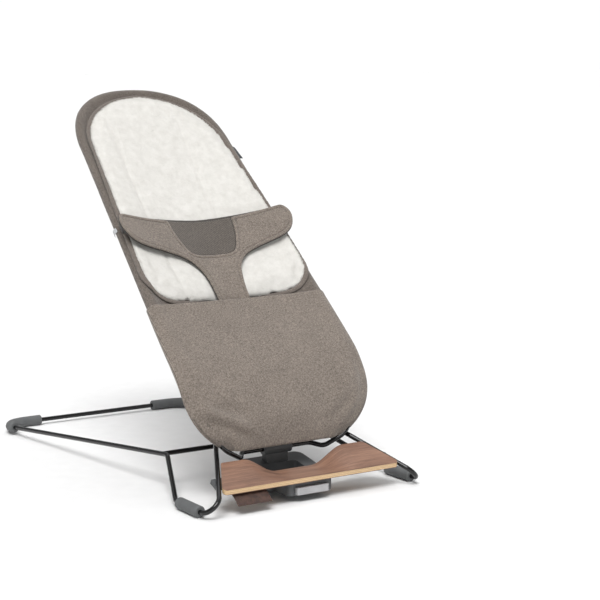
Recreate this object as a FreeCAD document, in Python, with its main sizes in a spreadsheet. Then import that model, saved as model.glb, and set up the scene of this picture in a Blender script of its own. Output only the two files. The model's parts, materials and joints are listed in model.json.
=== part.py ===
import FreeCAD, Part
import math
import os
import Sketcher

# Infant bouncer seat: a steel wire floor frame with rubber feet, a moulded plywood footplate,
# a hinge housing with a pull-to-release recline lock, and a fabric seat on a tube loop that
# turns about a wire at its lower end.
# Frame: the front faces -Y, +X is on the right for someone looking along +Y, +Z is up.
# The origin lies on the floor, under the centre of the bounding box.  Millimetres.

V = FreeCAD.Vector
X_WAY = V(1, 0, 0)
Y_WAY = V(0, 1, 0)
Z_WAY = V(0, 0, 1)

os.makedirs("parts", exist_ok=True)
doc = FreeCAD.newDocument("bouncer_seat")

# ------------------------------------------------------------------ driving dimensions

DIMENSIONS = {
    # floor frame
    "wire_dia": 8.0,
    "foot_dia": 19.0,
    "lie_height": 9.2,
    "rear_half_width": 204.0,
    "rear_y": 379.8,
    "rear_bend": 50.0,
    "rear_foot_reach": 58.0,
    "toe_half_width": 203.0,
    "heel_half_width": 201.0,
    "heel_y": -286.0,
    "toe_y": -425.0,
    "toe_bend": 18.5,
    "knee_half_width": 154.0,
    "knee_y": -176.0,
    "knee_height": 55.5,
    "front_foot_start": -298.0,
    "front_foot_end": -363.0,
    "bridge_half_width": 87.0,
    "bridge_y": -213.5,
    "bridge_height": 110.0,
    # footplate
    "plate_front_half": 170.0,
    "plate_rear_half": 136.3,
    "plate_front_y": -375.5,
    "plate_rear_y": -315.0,
    "plate_front_top": 40.2,
    "plate_lobe_top": 67.4,
    "plate_valley_top": 41.0,
    "plate_thick": 8.0,
    "tab_width": 62.0,
    "tab_length": 25.0,
    "tab_thick": 1.8,
    # hinge and housing
    "hinge_y": -263.4,
    "hinge_z": 65.0,
    "saddle_half": 26.0,
    "saddle_radius": 10.0,
    "bore_clear": 0.06,
    "tub_half": 60.0,
    "tub_wall": 2.6,
    "tub_base": 9.0,
    "parting": 24.0,
    # recline lock
    "slider_half": 9.0,
    "slider_low": 13.0,
    "slider_thick": 3.0,
    "slider_travel": 8.0,
    "pawl_travel": 3.0,
    "pawl_half": 3.0,
    "collar_radius": 7.5,
    "collar_half": 6.0,
    "handle_half": 30.0,
    "handle_high": 11.5,
    "handle_deep": 12.0,
    # seat
    "seat_angle": 42.5,
    "seat_lift": 87.6,
    "seat_top": 746.0,
    "shoulder": 600.0,
    "shoulder_half": 151.0,
    "waist_half": 171.5,
    "hip_half": 177.0,
    "tube_dia": 14.0,
    "cover_half_thick": 8.5,
    "panel_thick": 4.8,
    "panel_top": 242.0,
    "pad_thick": 10.0,
    "layer_gap": 0.6,
    "harness_thick": 2.4,
}

sheet = doc.addObject("Spreadsheet::Sheet", "Dimensions")
for row, (alias, value) in enumerate(DIMENSIONS.items(), start=1):
    sheet.set("A%d" % row, alias)
    sheet.set("B%d" % row, "%g" % value)
    sheet.setAlias("B%d" % row, alias)
doc.recompute()


def dim(alias):
    """A driving dimension, read from the sheet."""
    return float(getattr(sheet, alias))


# ------------------------------------------------------------------ helpers: document objects

NODES = []


def keep(label, obj):
    """Give an object its node name and put it on the list of parts to write."""
    obj.Label = label
    NODES.append(obj)
    return obj


def bind(obj, **expressions):
    """Bind properties of an object to cells of the sheet."""
    for name, expression in expressions.items():
        obj.setExpression(name, expression)
    return obj


def plain(name, shape):
    """A document object that holds a shape made with Part's own functions."""
    obj = doc.addObject("Part::Feature", name)
    obj.Shape = shape
    obj.Placement = FreeCAD.Placement()
    return obj


def feature(label, shape, placement=None):
    """A sub-part whose shape is made with Part's own functions, then placed."""
    obj = plain(label, shape)
    if placement:
        obj.Placement = placement
    return keep(label, obj)


def minus(name, base, tool):
    """A boolean cut of two document objects."""
    obj = doc.addObject("Part::Cut", name)
    obj.Base = base
    obj.Tool = tool
    return obj


def cylinder(name, point, way, radius, height):
    """A Part cylinder from a point along a way, its radius and height bound to the sheet."""
    obj = doc.addObject("Part::Cylinder", name)
    obj.Placement = FreeCAD.Placement(point, FreeCAD.Rotation(Z_WAY, way))
    return bind(obj, Radius=radius, Height=height)


def swept(name, path, radius):
    """A round bar swept along a path of lines and arcs, its radius bound to the sheet."""
    spine = plain(name + "_path", path)
    edge = path.Edges[0]
    point = edge.valueAt(edge.FirstParameter)
    along = edge.tangentAt(edge.FirstParameter)
    ring = doc.addObject("Part::Circle", name + "_ring")
    ring.Placement = FreeCAD.Placement(point, FreeCAD.Rotation(Z_WAY, along))
    bind(ring, Radius=radius)
    bar = doc.addObject("Part::Sweep", name)
    bar.Sections = [ring]
    bar.Spine = (spine, ["Edge%d" % k for k in range(1, len(path.Edges) + 1)])
    bar.Solid = True
    bar.Frenet = False
    bar.Transition = "Transformed"
    return bar


def body_with(label):
    """A PartDesign body for one sub-part."""
    return keep(label, doc.addObject("PartDesign::Body", label))


def plane_of(body, role):
    """One of a body's own origin planes."""
    return next(f for f in body.Origin.OriginFeatures if f.Role == role)


def rectangle(body, name, role, offset, spans):
    """A constrained rectangle: spans are expressions for left, right, low and high."""
    sketch = body.newObject("Sketcher::SketchObject", name)
    sketch.AttachmentSupport = (plane_of(body, role), [""])
    sketch.MapMode = "FlatFace"
    sketch.AttachmentOffset = FreeCAD.Placement(V(0, 0, offset), FreeCAD.Rotation())
    corners = [V(-10, -10, 0), V(10, -10, 0), V(10, 10, 0), V(-10, 10, 0)]
    for k in range(4):
        sketch.addGeometry(Part.LineSegment(corners[k], corners[(k + 1) % 4]))
    for k in range(4):
        sketch.addConstraint(Sketcher.Constraint("Coincident", k, 2, (k + 1) % 4, 1))
    for line, kind in enumerate(("Horizontal", "Vertical", "Horizontal", "Vertical")):
        sketch.addConstraint(Sketcher.Constraint(kind, line))
    places = (("DistanceX", 0, 1, -10, spans[0]), ("DistanceX", 1, 1, 10, spans[1]),
              ("DistanceY", 0, 1, -10, spans[2]), ("DistanceY", 2, 1, 10, spans[3]))
    for kind, line, end, start, expression in places:
        index = sketch.addConstraint(Sketcher.Constraint(kind, -1, 1, line, end, start))
        sketch.setExpression("Constraints[%d]" % index, expression)
    return sketch


def pad(body, sketch, length, both=False):
    """A pad of a sketch, its length bound to the sheet."""
    solid = body.newObject("PartDesign::Pad", sketch.Name + "_pad")
    solid.Profile = sketch
    solid.Midplane = both
    return bind(solid, Length=length)


def pocket(body, sketch, length, both=False):
    """A pocket of a sketch, cut both ways about its plane or downwards from it."""
    solid = body.newObject("PartDesign::Pocket", sketch.Name + "_pocket")
    solid.Profile = sketch
    solid.Midplane = both
    return bind(solid, Length=length)


def edges_along(shape, way):
    """Names of a shape's straight edges that run along a direction."""
    names = []
    for number, edge in enumerate(shape.Edges, start=1):
        straight = edge.Curve.TypeId == "Part::GeomLine"
        if straight and abs(abs(edge.tangentAt(edge.FirstParameter).dot(way)) - 1) < 1e-6:
            names.append("Edge%d" % number)
    return names


def fillet(body, base, radius, names):
    """A PartDesign fillet on named edges."""
    rounded = body.newObject("PartDesign::Fillet", body.Name + "_fillet")
    rounded.Base = (base, names)
    rounded.Radius = radius
    return rounded


# ------------------------------------------------------------------ helpers: shapes


def bent_path(points, bends):
    """Straight runs joined by tangent arcs, one bend radius for each inner point."""
    edges = []
    start = points[0]
    for index, radius in enumerate(bends, start=1):
        corner = points[index]
        to_prev = (points[index - 1] - corner).normalize()
        to_next = (points[index + 1] - corner).normalize()
        inner = to_prev.getAngle(to_next)
        tangent = radius / math.tan(inner / 2)
        first = corner + to_prev * tangent
        last = corner + to_next * tangent
        middle_way = (to_prev + to_next).normalize()
        middle = corner + middle_way * (radius / math.sin(inner / 2) - radius)
        if (first - start).Length > 1e-6:
            edges.append(Part.LineSegment(start, first).toShape())
        edges.append(Part.Arc(first, middle, last).toShape())
        start = last
    edges.append(Part.LineSegment(start, points[-1]).toShape())
    return Part.Wire(edges)


def rod(path, radius):
    """A round solid swept along a path of lines and arcs."""
    edge = path.Edges[0]
    ring = Part.makeCircle(radius, edge.valueAt(edge.FirstParameter), edge.tangentAt(edge.FirstParameter))
    return path.makePipeShell([Part.Wire(ring)], True, False, 0)


def block(x_span, y_span, z_span):
    """A box between two values along each axis."""
    sizes = [span[1] - span[0] for span in (x_span, y_span, z_span)]
    return Part.makeBox(*sizes, V(x_span[0], y_span[0], z_span[0]))


def rounded_block(x_span, y_span, z_span, radius):
    """A box whose four upright edges are rounded."""
    shape = block(x_span, y_span, z_span)
    upright = [e for e in shape.Edges if abs(e.tangentAt(e.FirstParameter).z) > 0.99]
    return shape.makeFillet(radius, upright)


def mirror_x(shape):
    """The same shape on the other side of the middle plane."""
    return shape.mirror(V(0, 0, 0), X_WAY)


def largest(shape):
    """The largest solid of a shape."""
    return max(shape.Solids, key=lambda solid: solid.Volume)


def both_sides(name, shape, placement=None):
    """Two nodes, left and right, from the shape of the right one."""
    feature(name + "_right", shape, placement)
    feature(name + "_left", mirror_x(shape), placement)


def screw(point, way, shank, length, head, head_high):
    """A pan-head screw with a round drive recess: point is under its head."""
    stem = Part.makeCylinder(shank, length, point, way)
    cap = Part.makeCylinder(head, head_high, point, way * -1)
    cap = cap.makeFillet(head_high * 0.35, [e for e in cap.Edges if e.CenterOfMass.distanceToPoint(
        point - way * head_high) < 0.01 and e.Closed])
    drive = Part.makeCylinder(head * 0.42, head_high * 0.6, point - way * (head_high * 0.5), way * -1)
    return stem.fuse(cap).cut(drive)


# ------------------------------------------------------------------ floor frame

WIRE = dim("wire_dia") / 2
FOOT = dim("foot_dia") / 2
LIE = dim("lie_height")
SLEEVE_HOLE = WIRE + 0.05
KNEE = V(dim("knee_half_width"), dim("knee_y"), dim("knee_height"))
REAR = V(dim("rear_half_width"), dim("rear_y"), LIE)
HEEL = V(dim("heel_half_width"), dim("heel_y"), LIE)
TOE = V(dim("toe_half_width"), dim("toe_y"), LIE)
BRIDGE = V(dim("bridge_half_width"), dim("bridge_y"), dim("bridge_height"))
REACH = dim("rear_foot_reach")
TO_KNEE = (KNEE - REAR).normalize()
SPLIT = REAR + TO_KNEE * (REACH - 2)
BRIDGE_END = BRIDGE - X_WAY * 40

side_path = bent_path([SPLIT, KNEE, HEEL, TOE, BRIDGE, BRIDGE_END], [24.0, 24.0, dim("toe_bend"), 26.0])
mirror_path = mirror_x(side_path)
side_right = keep("base_side_wire_right", swept("side_wire_right", side_path, "Dimensions.wire_dia / 2"))
side_left = keep("base_side_wire_left", swept("side_wire_left", mirror_path, "Dimensions.wire_dia / 2"))

bow_points = [SPLIT, REAR, V(-REAR.x, REAR.y, REAR.z), V(-SPLIT.x, SPLIT.y, SPLIT.z)]
bow_path = bent_path(bow_points, [dim("rear_bend")] * 2)
keep("base_rear_bow", swept("rear_bow", bow_path, "Dimensions.wire_dia / 2"))

bridge_bar = cylinder("bridge_bar", V(-BRIDGE_END.x, BRIDGE.y, BRIDGE.z), X_WAY,
                      "Dimensions.wire_dia / 2", "2 * (Dimensions.bridge_half_width - 40)")
keep("base_bridge_bar", bridge_bar)

# The cross bar is butted between the side wires just behind the knees and coped round them.
CROSS = V(KNEE.x, KNEE.y + 14, KNEE.z - 1.2)
cross_bar = cylinder("cross_bar", V(-CROSS.x, CROSS.y, CROSS.z), X_WAY,
                     "Dimensions.wire_dia / 2", "2 * Dimensions.knee_half_width")
cope = rod(side_path, WIRE + 0.03)
cope = plain("cope", Part.makeCompound([cope, mirror_x(cope)]))
coped_bar = minus("coped_bar", cross_bar, cope)
doc.recompute()
feature("base_cross_bar", largest(coped_bar.Shape))

# Rubber sleeves round the wire, each with a narrow flat underneath where it stands.
UNDER_FLOOR = block((-300, 300), (-500, 500), (-20, 0))
rear_foot = rod(bent_path([REAR + TO_KNEE * REACH, REAR, REAR - X_WAY * 83], [dim("rear_bend")]), FOOT)
rear_hole = rod(bent_path([REAR + TO_KNEE * (REACH + 5), REAR, REAR - X_WAY * 90], [dim("rear_bend")]),
                SLEEVE_HOLE)
rear_foot = rear_foot.makeFillet(2.0, [e for e in rear_foot.Edges if e.Curve.TypeId == "Part::GeomCircle"
                                       and abs(e.Curve.Radius - FOOT) < 0.01 and e.Closed
                                       and (e.CenterOfMass - REAR).Length > REACH - 1])
both_sides("rear_foot", rear_foot.cut(rear_hole).cut(UNDER_FLOOR))

TOE_WAY = (TOE - HEEL).normalize()


def on_foot_run(y_value):
    """The point of the front foot run at a given Y."""
    return HEEL + TOE_WAY * ((y_value - HEEL.y) / TOE_WAY.y)


foot_start = on_foot_run(dim("front_foot_start"))
foot_end = on_foot_run(dim("front_foot_end"))
front_foot = Part.makeCylinder(FOOT, (foot_end - foot_start).Length, foot_start, TOE_WAY)
front_foot = front_foot.makeFillet(2.5, [e for e in front_foot.Edges if e.Closed])
front_foot = front_foot.cut(Part.makeCylinder(SLEEVE_HOLE, 200, foot_start - TOE_WAY * 50, TOE_WAY))
both_sides("front_foot", front_foot.cut(UNDER_FLOOR))

# ------------------------------------------------------------------ footplate

PLATE_T = dim("plate_thick")
VALLEY_FLAT = 34.0
VALLEY_EDGE = 96.0
PLATE_STEPS = 4
ACROSS_STEPS = 24


def valley(x_value, low, high):
    """Height across the plate: low in the middle, high at the sides, with a smooth rise."""
    share = min(1.0, max(0.0, (abs(x_value) - VALLEY_FLAT) / (VALLEY_EDGE - VALLEY_FLAT)))
    return low + (high - low) * share * share * (3 - 2 * share)


def plate_size(share):
    """Y, half width, valley height and side height from the front edge (0) to the rear (1)."""
    pairs = (("plate_front_y", "plate_rear_y"), ("plate_front_half", "plate_rear_half"),
             ("plate_front_top", "plate_valley_top"), ("plate_front_top", "plate_lobe_top"))
    return [dim(front) + share * (dim(rear) - dim(front)) for front, rear in pairs]


def plate_outline(share):
    """A closed outline across the plate."""
    y_value, half, low, high = plate_size(share)
    places = [half * (2 * k / ACROSS_STEPS - 1) for k in range(ACROSS_STEPS + 1)]
    top = Part.BSplineCurve()
    top.interpolate([V(x, y_value, valley(x, low, high)) for x in places])
    under = Part.BSplineCurve()
    under.interpolate([V(x, y_value, valley(x, low, high) - PLATE_T) for x in places])
    right = Part.LineSegment(top.EndPoint, under.EndPoint)
    left = Part.LineSegment(under.StartPoint, top.StartPoint)
    under.reverse()
    return Part.Wire([top.toShape(), right.toShape(), under.toShape(), left.toShape()])


plate = Part.makeLoft([plate_outline(k / PLATE_STEPS) for k in range(PLATE_STEPS + 1)], True, False)
plate_corners = []
for edge in plate.Edges:
    upright = abs(edge.tangentAt(edge.FirstParameter).z) > 0.99
    if upright and abs(edge.CenterOfMass.x) > dim("plate_rear_half") - 5:
        plate_corners.append(edge)
plate = plate.makeFillet(6.0, plate_corners)

# Screws from below hold the plate: one through each wire clamp, two from inside the housing.
RISER_WAY = (BRIDGE - TOE).normalize()


def on_riser(y_value):
    """The point of the riser's centre line at a given Y."""
    return TOE + RISER_WAY * ((y_value - TOE.y) / RISER_WAY.y)


CLAMP_Y = -346.0
clamp_share = (CLAMP_Y - dim("plate_front_y")) / (dim("plate_rear_y") - dim("plate_front_y"))
clamp_low, clamp_high = plate_size(clamp_share)[2:]
CLAMP_FACE = clamp_high - PLATE_T
PLATE_RISE = dim("plate_lobe_top") - dim("plate_front_top")
PLATE_SLOPE = math.atan2(PLATE_RISE, dim("plate_rear_y") - dim("plate_front_y"))
PLATE_UP = V(0, -math.sin(PLATE_SLOPE), math.cos(PLATE_SLOPE))
clamp_centre = V(on_riser(CLAMP_Y).x - 14, CLAMP_Y, CLAMP_FACE)
clamp_turn = FreeCAD.Rotation(X_WAY, math.degrees(PLATE_SLOPE))
clamp = block((-22, 22), (-11, 11), (-6.5, -0.5))
clamp = clamp.makeFillet(3.0, [e for e in clamp.Edges if abs(e.tangentAt(e.FirstParameter).z) > 0.99])
clamp.Placement = FreeCAD.Placement(clamp_centre, clamp_turn)
CLAMP_SCREW = clamp_centre - X_WAY * 10
clamp = clamp.cut(rod(Part.Wire(Part.LineSegment(on_riser(-400), on_riser(-280)).toShape()), WIRE + 0.05))
clamp = clamp.cut(Part.makeCylinder(1.7, 40, CLAMP_SCREW - PLATE_UP * 20, PLATE_UP))
clamp = largest(clamp)
both_sides("wire_clamp", clamp)

HOUSE_SCREW = V(46.0, -319.0, 28.6)
screw_places = [(CLAMP_SCREW - PLATE_UP * 6.6, PLATE_UP), (HOUSE_SCREW, Z_WAY)]
plate_screws = []
for place, way in screw_places:
    one = screw(place, way, 1.6, 11.0, 3.2, 2.2)
    plate_screws += [one, mirror_x(one)]
    blind = Part.makeCylinder(1.65, 11.4, place, way)
    plate = plate.cut(blind).cut(mirror_x(blind))
feature("footplate", plate)
feature("plate_screws", Part.makeCompound(plate_screws))

# A soft flat tab held under the plate's front edge, hanging forwards and down.
TAB_X = -117.0
TAB_HINGE = V(TAB_X, dim("plate_front_y") + 10.0, 31.3)
tab_body = body_with("leather_tab")
TAB_EDGES = ("-Dimensions.tab_width / 2", "Dimensions.tab_width / 2", "-Dimensions.tab_length", "0")
tab_sketch = rectangle(tab_body, "tab_outline", "XY_Plane", 0, TAB_EDGES)
tab_pad = pad(tab_body, tab_sketch, "Dimensions.tab_thick")
doc.recompute()
fillet(tab_body, tab_pad, 3.0, edges_along(tab_pad.Shape, Z_WAY))
TAB_CORNER = TAB_HINGE - Z_WAY * (dim("tab_thick") + 0.4)
tab_body.Placement = FreeCAD.Placement(TAB_CORNER, FreeCAD.Rotation(X_WAY, 36))

# ------------------------------------------------------------------ hinge housing

HINGE = V(0, dim("hinge_y"), dim("hinge_z"))
SADDLE = dim("saddle_radius")
SADDLE_HALF = dim("saddle_half")
BORE = WIRE + dim("bore_clear")
TUB_HALF = dim("tub_half")
WALL = dim("tub_wall")
BASE_Z = dim("tub_base")
PARTING = dim("parting")
TUB_REAR = -240.0
TUB_NECK = -325.0
TUB_FRONT = -366.0
NOSE_HALF = 43.0
NOSE_TOP = 31.5
RIM_REAR = 47.0
SLOPE_START = -318.0
JOINT_GAP = 0.05


def tub_form(inset, low, high):
    """The housing's form, a wide rear and a narrower nose, some way in from its outside."""
    rear = rounded_block((-TUB_HALF + inset, TUB_HALF - inset), (TUB_NECK + inset, TUB_REAR - inset),
                         (low, high), 14.0 - inset)
    nose = rounded_block((-NOSE_HALF + inset, NOSE_HALF - inset), (TUB_FRONT + inset, TUB_NECK + 30),
                         (low, high), 9.0 - inset)
    return rear.fuse(nose).removeSplitter()


def above_roof(drop):
    """Everything above the sloping roof, or above a surface some way under it."""
    points = [V(-90, -420, NOSE_TOP - drop), V(-90, SLOPE_START, NOSE_TOP - drop),
              V(-90, TUB_REAR, RIM_REAR - drop), V(-90, TUB_REAR + 30, RIM_REAR - drop),
              V(-90, TUB_REAR + 30, 120), V(-90, -420, 120)]
    return Part.Face(Part.makePolygon(points + points[:1])).extrude(V(180, 0, 0))


bosses = []
boss_holes = []
for spot_x in (-49, 49):
    for spot_y in (-252, -308):
        bosses.append(V(spot_x, spot_y, 0))

lower = tub_form(0, BASE_Z, PARTING).cut(tub_form(WALL, BASE_Z + WALL, PARTING + 5))
floor_edges = [e for e in lower.Edges if e.BoundBox.ZMax < BASE_Z + 0.01]
lower = lower.makeFillet(3.5, floor_edges)
MOUTH_HALF = dim("handle_half") + 1.5
mouth = block((-MOUTH_HALF, MOUTH_HALF), (TUB_FRONT - 5, TUB_FRONT + WALL + 1), (BASE_Z + 2.6, PARTING + 5))
FINGER_GAP = block((-27, 27), (-356, -338), (BASE_Z - 1, BASE_Z + WALL + 1))
lower = lower.cut(mouth).cut(FINGER_GAP)
housing_screws = []
for spot in bosses:
    stand = Part.makeCylinder(4.5, PARTING - BASE_Z - 1, V(spot.x, spot.y, BASE_Z + 1))
    hole = Part.makeCylinder(1.7, 60, V(spot.x, spot.y, BASE_Z - 5))
    sink = Part.makeCylinder(3.5, 3.0, V(spot.x, spot.y, BASE_Z - 0.4))
    lower = lower.fuse(stand).cut(hole).cut(sink)
    housing_screws.append(screw(V(spot.x, spot.y, BASE_Z + 2.6), Z_WAY, 1.6, 19.0, 3.2, 2.0))
feature("housing_lower", lower)
feature("housing_screws", Part.makeCompound(housing_screws))

upper = tub_form(0, PARTING + JOINT_GAP, 60).cut(above_roof(0))
hollow = tub_form(WALL, PARTING - 5, 60).cut(above_roof(WALL))
upper = upper.cut(hollow)

# The basin sunk in the roof behind the footplate.
BASIN_HALF = 34.0
BASIN_REAR = -270.0
BASIN_FRONT = -309.0
BASIN_FLOOR = 27.5
basin_skin = rounded_block((-BASIN_HALF - WALL, BASIN_HALF + WALL), (BASIN_FRONT - WALL, BASIN_REAR + WALL),
                           (BASIN_FLOOR - WALL, 60), 9.0).cut(above_roof(0))
BASIN = rounded_block((-BASIN_HALF, BASIN_HALF), (BASIN_FRONT, BASIN_REAR), (BASIN_FLOOR, 80), 7.0)
upper = upper.fuse(basin_skin).cut(BASIN)

# The neck and the lower half of the saddle, with the guide for the pawl.
PAWL_HALF = dim("pawl_half")
PAWL_Y = HINGE.y
NECK_HALF = 20.0
neck = block((-NECK_HALF, NECK_HALF), (HINGE.y - 4.8, HINGE.y + 11), (38, HINGE.z - 2))
saddle = Part.makeCylinder(SADDLE, 2 * SADDLE_HALF, HINGE - X_WAY * SADDLE_HALF, X_WAY)
saddle = saddle.makeFillet(1.2, [e for e in saddle.Edges if e.Closed])
bore = Part.makeCylinder(BORE, 100, HINGE - X_WAY * 50, X_WAY)
COLLAR_ROOM = dim("collar_half") + 0.6
COLLAR_END = HINGE - X_WAY * COLLAR_ROOM
collar_room = Part.makeCylinder(dim("collar_radius") + 0.7, 2 * COLLAR_ROOM, COLLAR_END, X_WAY)
under_axis = block((-60, 60), (-330, -200), (20, HINGE.z - JOINT_GAP))
over_axis = block((-60, 60), (-330, -200), (HINGE.z + JOINT_GAP, 120))
pawl_room = block((-PAWL_HALF - 0.35, PAWL_HALF + 0.35), (PAWL_Y - 2.9, PAWL_Y + 2.9), (30, HINGE.z - 3))
upper = upper.fuse(neck).fuse(saddle.common(under_axis))
upper = upper.cut(bore).cut(collar_room).cut(pawl_room)
for spot in bosses:
    stand = Part.makeCylinder(4.5, 30, V(spot.x, spot.y, PARTING + JOINT_GAP))
    stand = stand.cut(above_roof(0.5))
    hole = Part.makeCylinder(1.65, 8.2, V(spot.x, spot.y, PARTING - 1))
    upper = upper.fuse(stand).cut(hole)

# A rib under the nose's roof, which the return spring pushes against.
RIB_REAR = -340.0
RIB = block((-7, 7), (RIB_REAR - 2.5, RIB_REAR), (17.2, NOSE_TOP - 1))
upper = upper.fuse(RIB)
for side in (-1, 1):
    place = V(side * HOUSE_SCREW.x, HOUSE_SCREW.y, HOUSE_SCREW.z)
    upper = upper.cut(Part.makeCylinder(1.7, 20, place - Z_WAY * 2))

CAP_SCREW_X = 18.5
CAP_SCREW_Y = HINGE.y + 6.9
CAP_HEAD_Z = HINGE.z + 4.2
cap = saddle.common(over_axis).cut(bore).cut(collar_room)
cap_screws = []
for side in (-1, 1):
    place = V(side * CAP_SCREW_X, CAP_SCREW_Y, CAP_HEAD_Z)
    cap = cap.cut(Part.makeCylinder(1.3, 20, place - Z_WAY * 15)).cut(Part.makeCylinder(2.3, 10, place))
    upper = upper.cut(Part.makeCylinder(1.25, 14, place - Z_WAY * 14))
    cap_screws.append(screw(place, Z_WAY * -1, 1.2, 13.5, 2.1, 1.6))
feature("housing_upper", upper)
feature("hinge_cap", cap)
feature("cap_screws", Part.makeCompound(cap_screws))

# ------------------------------------------------------------------ recline lock

SLIDE_LOW = dim("slider_low")
SLIDE_TOP = SLIDE_LOW + dim("slider_thick")
SLIDE_FRONT = TUB_FRONT + 8.0
SLIDE_REAR = PAWL_Y + 13.0
TRAVEL = dim("slider_travel")
PAWL_TRAVEL = dim("pawl_travel")
PIN_Z = 21.2
PIN_RADIUS = 1.5
EAR_IN = PAWL_HALF + 0.6
EAR_OUT = EAR_IN + 2.0

slider = block((-dim("slider_half"), dim("slider_half")), (SLIDE_FRONT, SLIDE_REAR), (SLIDE_LOW, SLIDE_TOP))
slot_start = V(-20, PAWL_Y - 0.3, PIN_Z)
slot_end = V(-20, PAWL_Y + TRAVEL + 0.3, PIN_Z - PAWL_TRAVEL * (TRAVEL + 0.3) / TRAVEL)
SLOT_HALF = PIN_RADIUS + 0.35
slot_way = (slot_end - slot_start).normalize()
slot_side = V(0, -slot_way.z, slot_way.y) * SLOT_HALF
slot_corners = [slot_start + slot_side, slot_end + slot_side, slot_end - slot_side, slot_start - slot_side]
slot = Part.Face(Part.makePolygon(slot_corners + slot_corners[:1])).extrude(V(40, 0, 0))
for end in (slot_start, slot_end):
    slot = slot.fuse(Part.makeCylinder(SLOT_HALF, 40, end, X_WAY))
for side in (-1, 1):
    ear_span = sorted((side * EAR_IN, side * EAR_OUT))
    slider = slider.fuse(block(ear_span, (PAWL_Y - 3.9, SLIDE_REAR), (SLIDE_LOW, PIN_Z + 3.2)))
SPRING_TAB = -317.0
slider = slider.fuse(block((-5, 5), (SPRING_TAB, SPRING_TAB + 2.5), (SLIDE_LOW, SLIDE_TOP + 7.2))).cut(slot)

handle_body = doc.addObject("PartDesign::Body", "handle_blank")
HANDLE_EDGES = ("-Dimensions.handle_half", "Dimensions.handle_half", "-Dimensions.handle_deep", "0")
handle_sketch = rectangle(handle_body, "handle_outline", "XY_Plane", 0, HANDLE_EDGES)
handle_pad = pad(handle_body, handle_sketch, "Dimensions.handle_high")
doc.recompute()
handle_round = fillet(handle_body, handle_pad, 3.0, edges_along(handle_pad.Shape, Z_WAY))
LIP_EDGES = ("-Dimensions.handle_half + 5", "Dimensions.handle_half - 5", "-Dimensions.handle_deep + 3", "1")
lip_sketch = rectangle(handle_body, "lip_outline", "XY_Plane", 0, LIP_EDGES)
lip = pocket(handle_body, lip_sketch, "6.5")
lip.Reversed = True
SHELF_EDGES = ("-Dimensions.slider_half", "Dimensions.slider_half", "-Dimensions.handle_deep / 2", "11")
shelf_sketch = rectangle(handle_body, "shelf_outline", "XY_Plane", 4.2, SHELF_EDGES)
shelf = pad(handle_body, shelf_sketch, "2.4")
handle_body.Tip = shelf
HANDLE_AT = V(0, TUB_FRONT + 4.5, BASE_Z + 3.2)
handle_body.Placement = FreeCAD.Placement(HANDLE_AT, FreeCAD.Rotation())

handle_screws = []
HANDLE_TOOLS = []
for side in (-1, 1):
    place = V(side * 5.0, SLIDE_FRONT + 5.0, SLIDE_TOP + 3.0)
    handle_screws.append(screw(place, Z_WAY * -1, 1.2, 5.6, 2.2, 1.5))
    HANDLE_TOOLS.append(Part.makeCylinder(1.25, 12, place - Z_WAY * 9))
handle_holes = plain("handle_holes", Part.makeCompound(HANDLE_TOOLS))
keep("release_handle", minus("drilled_handle", handle_body, handle_holes))
feature("release_slider", slider.cut(handle_holes.Shape))
feature("handle_screws", Part.makeCompound(handle_screws))

PAWL_TIP = HINGE.z - dim("collar_radius") - 0.3
pawl = block((-PAWL_HALF, PAWL_HALF), (PAWL_Y - 2.5, PAWL_Y + 2.5), (PIN_Z - 2.0, PAWL_TIP))
pawl = pawl.cut(Part.makeCylinder(PIN_RADIUS + 0.02, 20, V(-10, PAWL_Y, PIN_Z), X_WAY))
feature("lock_pawl", pawl)
pin_half = EAR_OUT + 0.8
feature("pawl_pin", Part.makeCylinder(PIN_RADIUS, 2 * pin_half, V(-pin_half, PAWL_Y, PIN_Z), X_WAY))

SPRING_RADIUS = 2.8
SPRING_WIRE = 0.45
spring_length = SPRING_TAB - RIB_REAR - 2 * SPRING_WIRE - 0.4
helix = Part.makeHelix(3.0, spring_length, SPRING_RADIUS)
ring = Part.Wire(Part.makeCircle(SPRING_WIRE, V(SPRING_RADIUS, 0, 0), V(0, 1, 0.17)))
spring = Part.Wire(helix).makePipeShell([ring], True, True)
spring_spot = V(0, SPRING_TAB - SPRING_WIRE - 0.2, SLIDE_TOP + 3.9)
feature("return_spring", spring, FreeCAD.Placement(spring_spot, FreeCAD.Rotation(X_WAY, 90)))

# ------------------------------------------------------------------ seat frame
# Seat parts are drawn in the seat's own frame: x across, y up the seat, z out of its face,
# with the origin on the hinge axis.

SEAT_TURN = FreeCAD.Rotation(X_WAY, dim("seat_angle"))
SEAT = FreeCAD.Placement(HINGE, SEAT_TURN)
LIFT = dim("seat_lift")
TOP = dim("seat_top")
SHOULDER = dim("shoulder")
SHOULDER_HALF = dim("shoulder_half")
WAIST_HALF = dim("waist_half")
HIP_HALF = dim("hip_half")
PANEL_TOP = dim("panel_top")
HIP_START = 80.0
SOLE = -25.0
CROWN_POWER = 2.3
SOLE_POWER = 2.6
CURVE_START = 130.0
CURVE_RADIUS = 200.0
NOSE_RADIUS = 16.0
NOSE_TURN = 43.5
NOSE_END = 47.5


def half_width(y_value):
    """Half the seat's width at a distance up the seat."""
    if y_value >= SHOULDER:
        share = min(1.0, (y_value - SHOULDER) / (TOP - SHOULDER))
        return SHOULDER_HALF * (1 - share ** CROWN_POWER) ** (1 / CROWN_POWER)
    if y_value >= PANEL_TOP:
        share = (y_value - PANEL_TOP) / (SHOULDER - PANEL_TOP)
        return WAIST_HALF + share * (SHOULDER_HALF - WAIST_HALF)
    if y_value >= HIP_START:
        share = (PANEL_TOP - y_value) / (PANEL_TOP - HIP_START)
        return WAIST_HALF + (HIP_HALF - WAIST_HALF) * math.sin(share * math.pi / 2)
    share = min(1.0, (HIP_START - y_value) / (HIP_START - SOLE))
    return HIP_HALF * (1 - share ** SOLE_POWER) ** (1 / SOLE_POWER)


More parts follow.
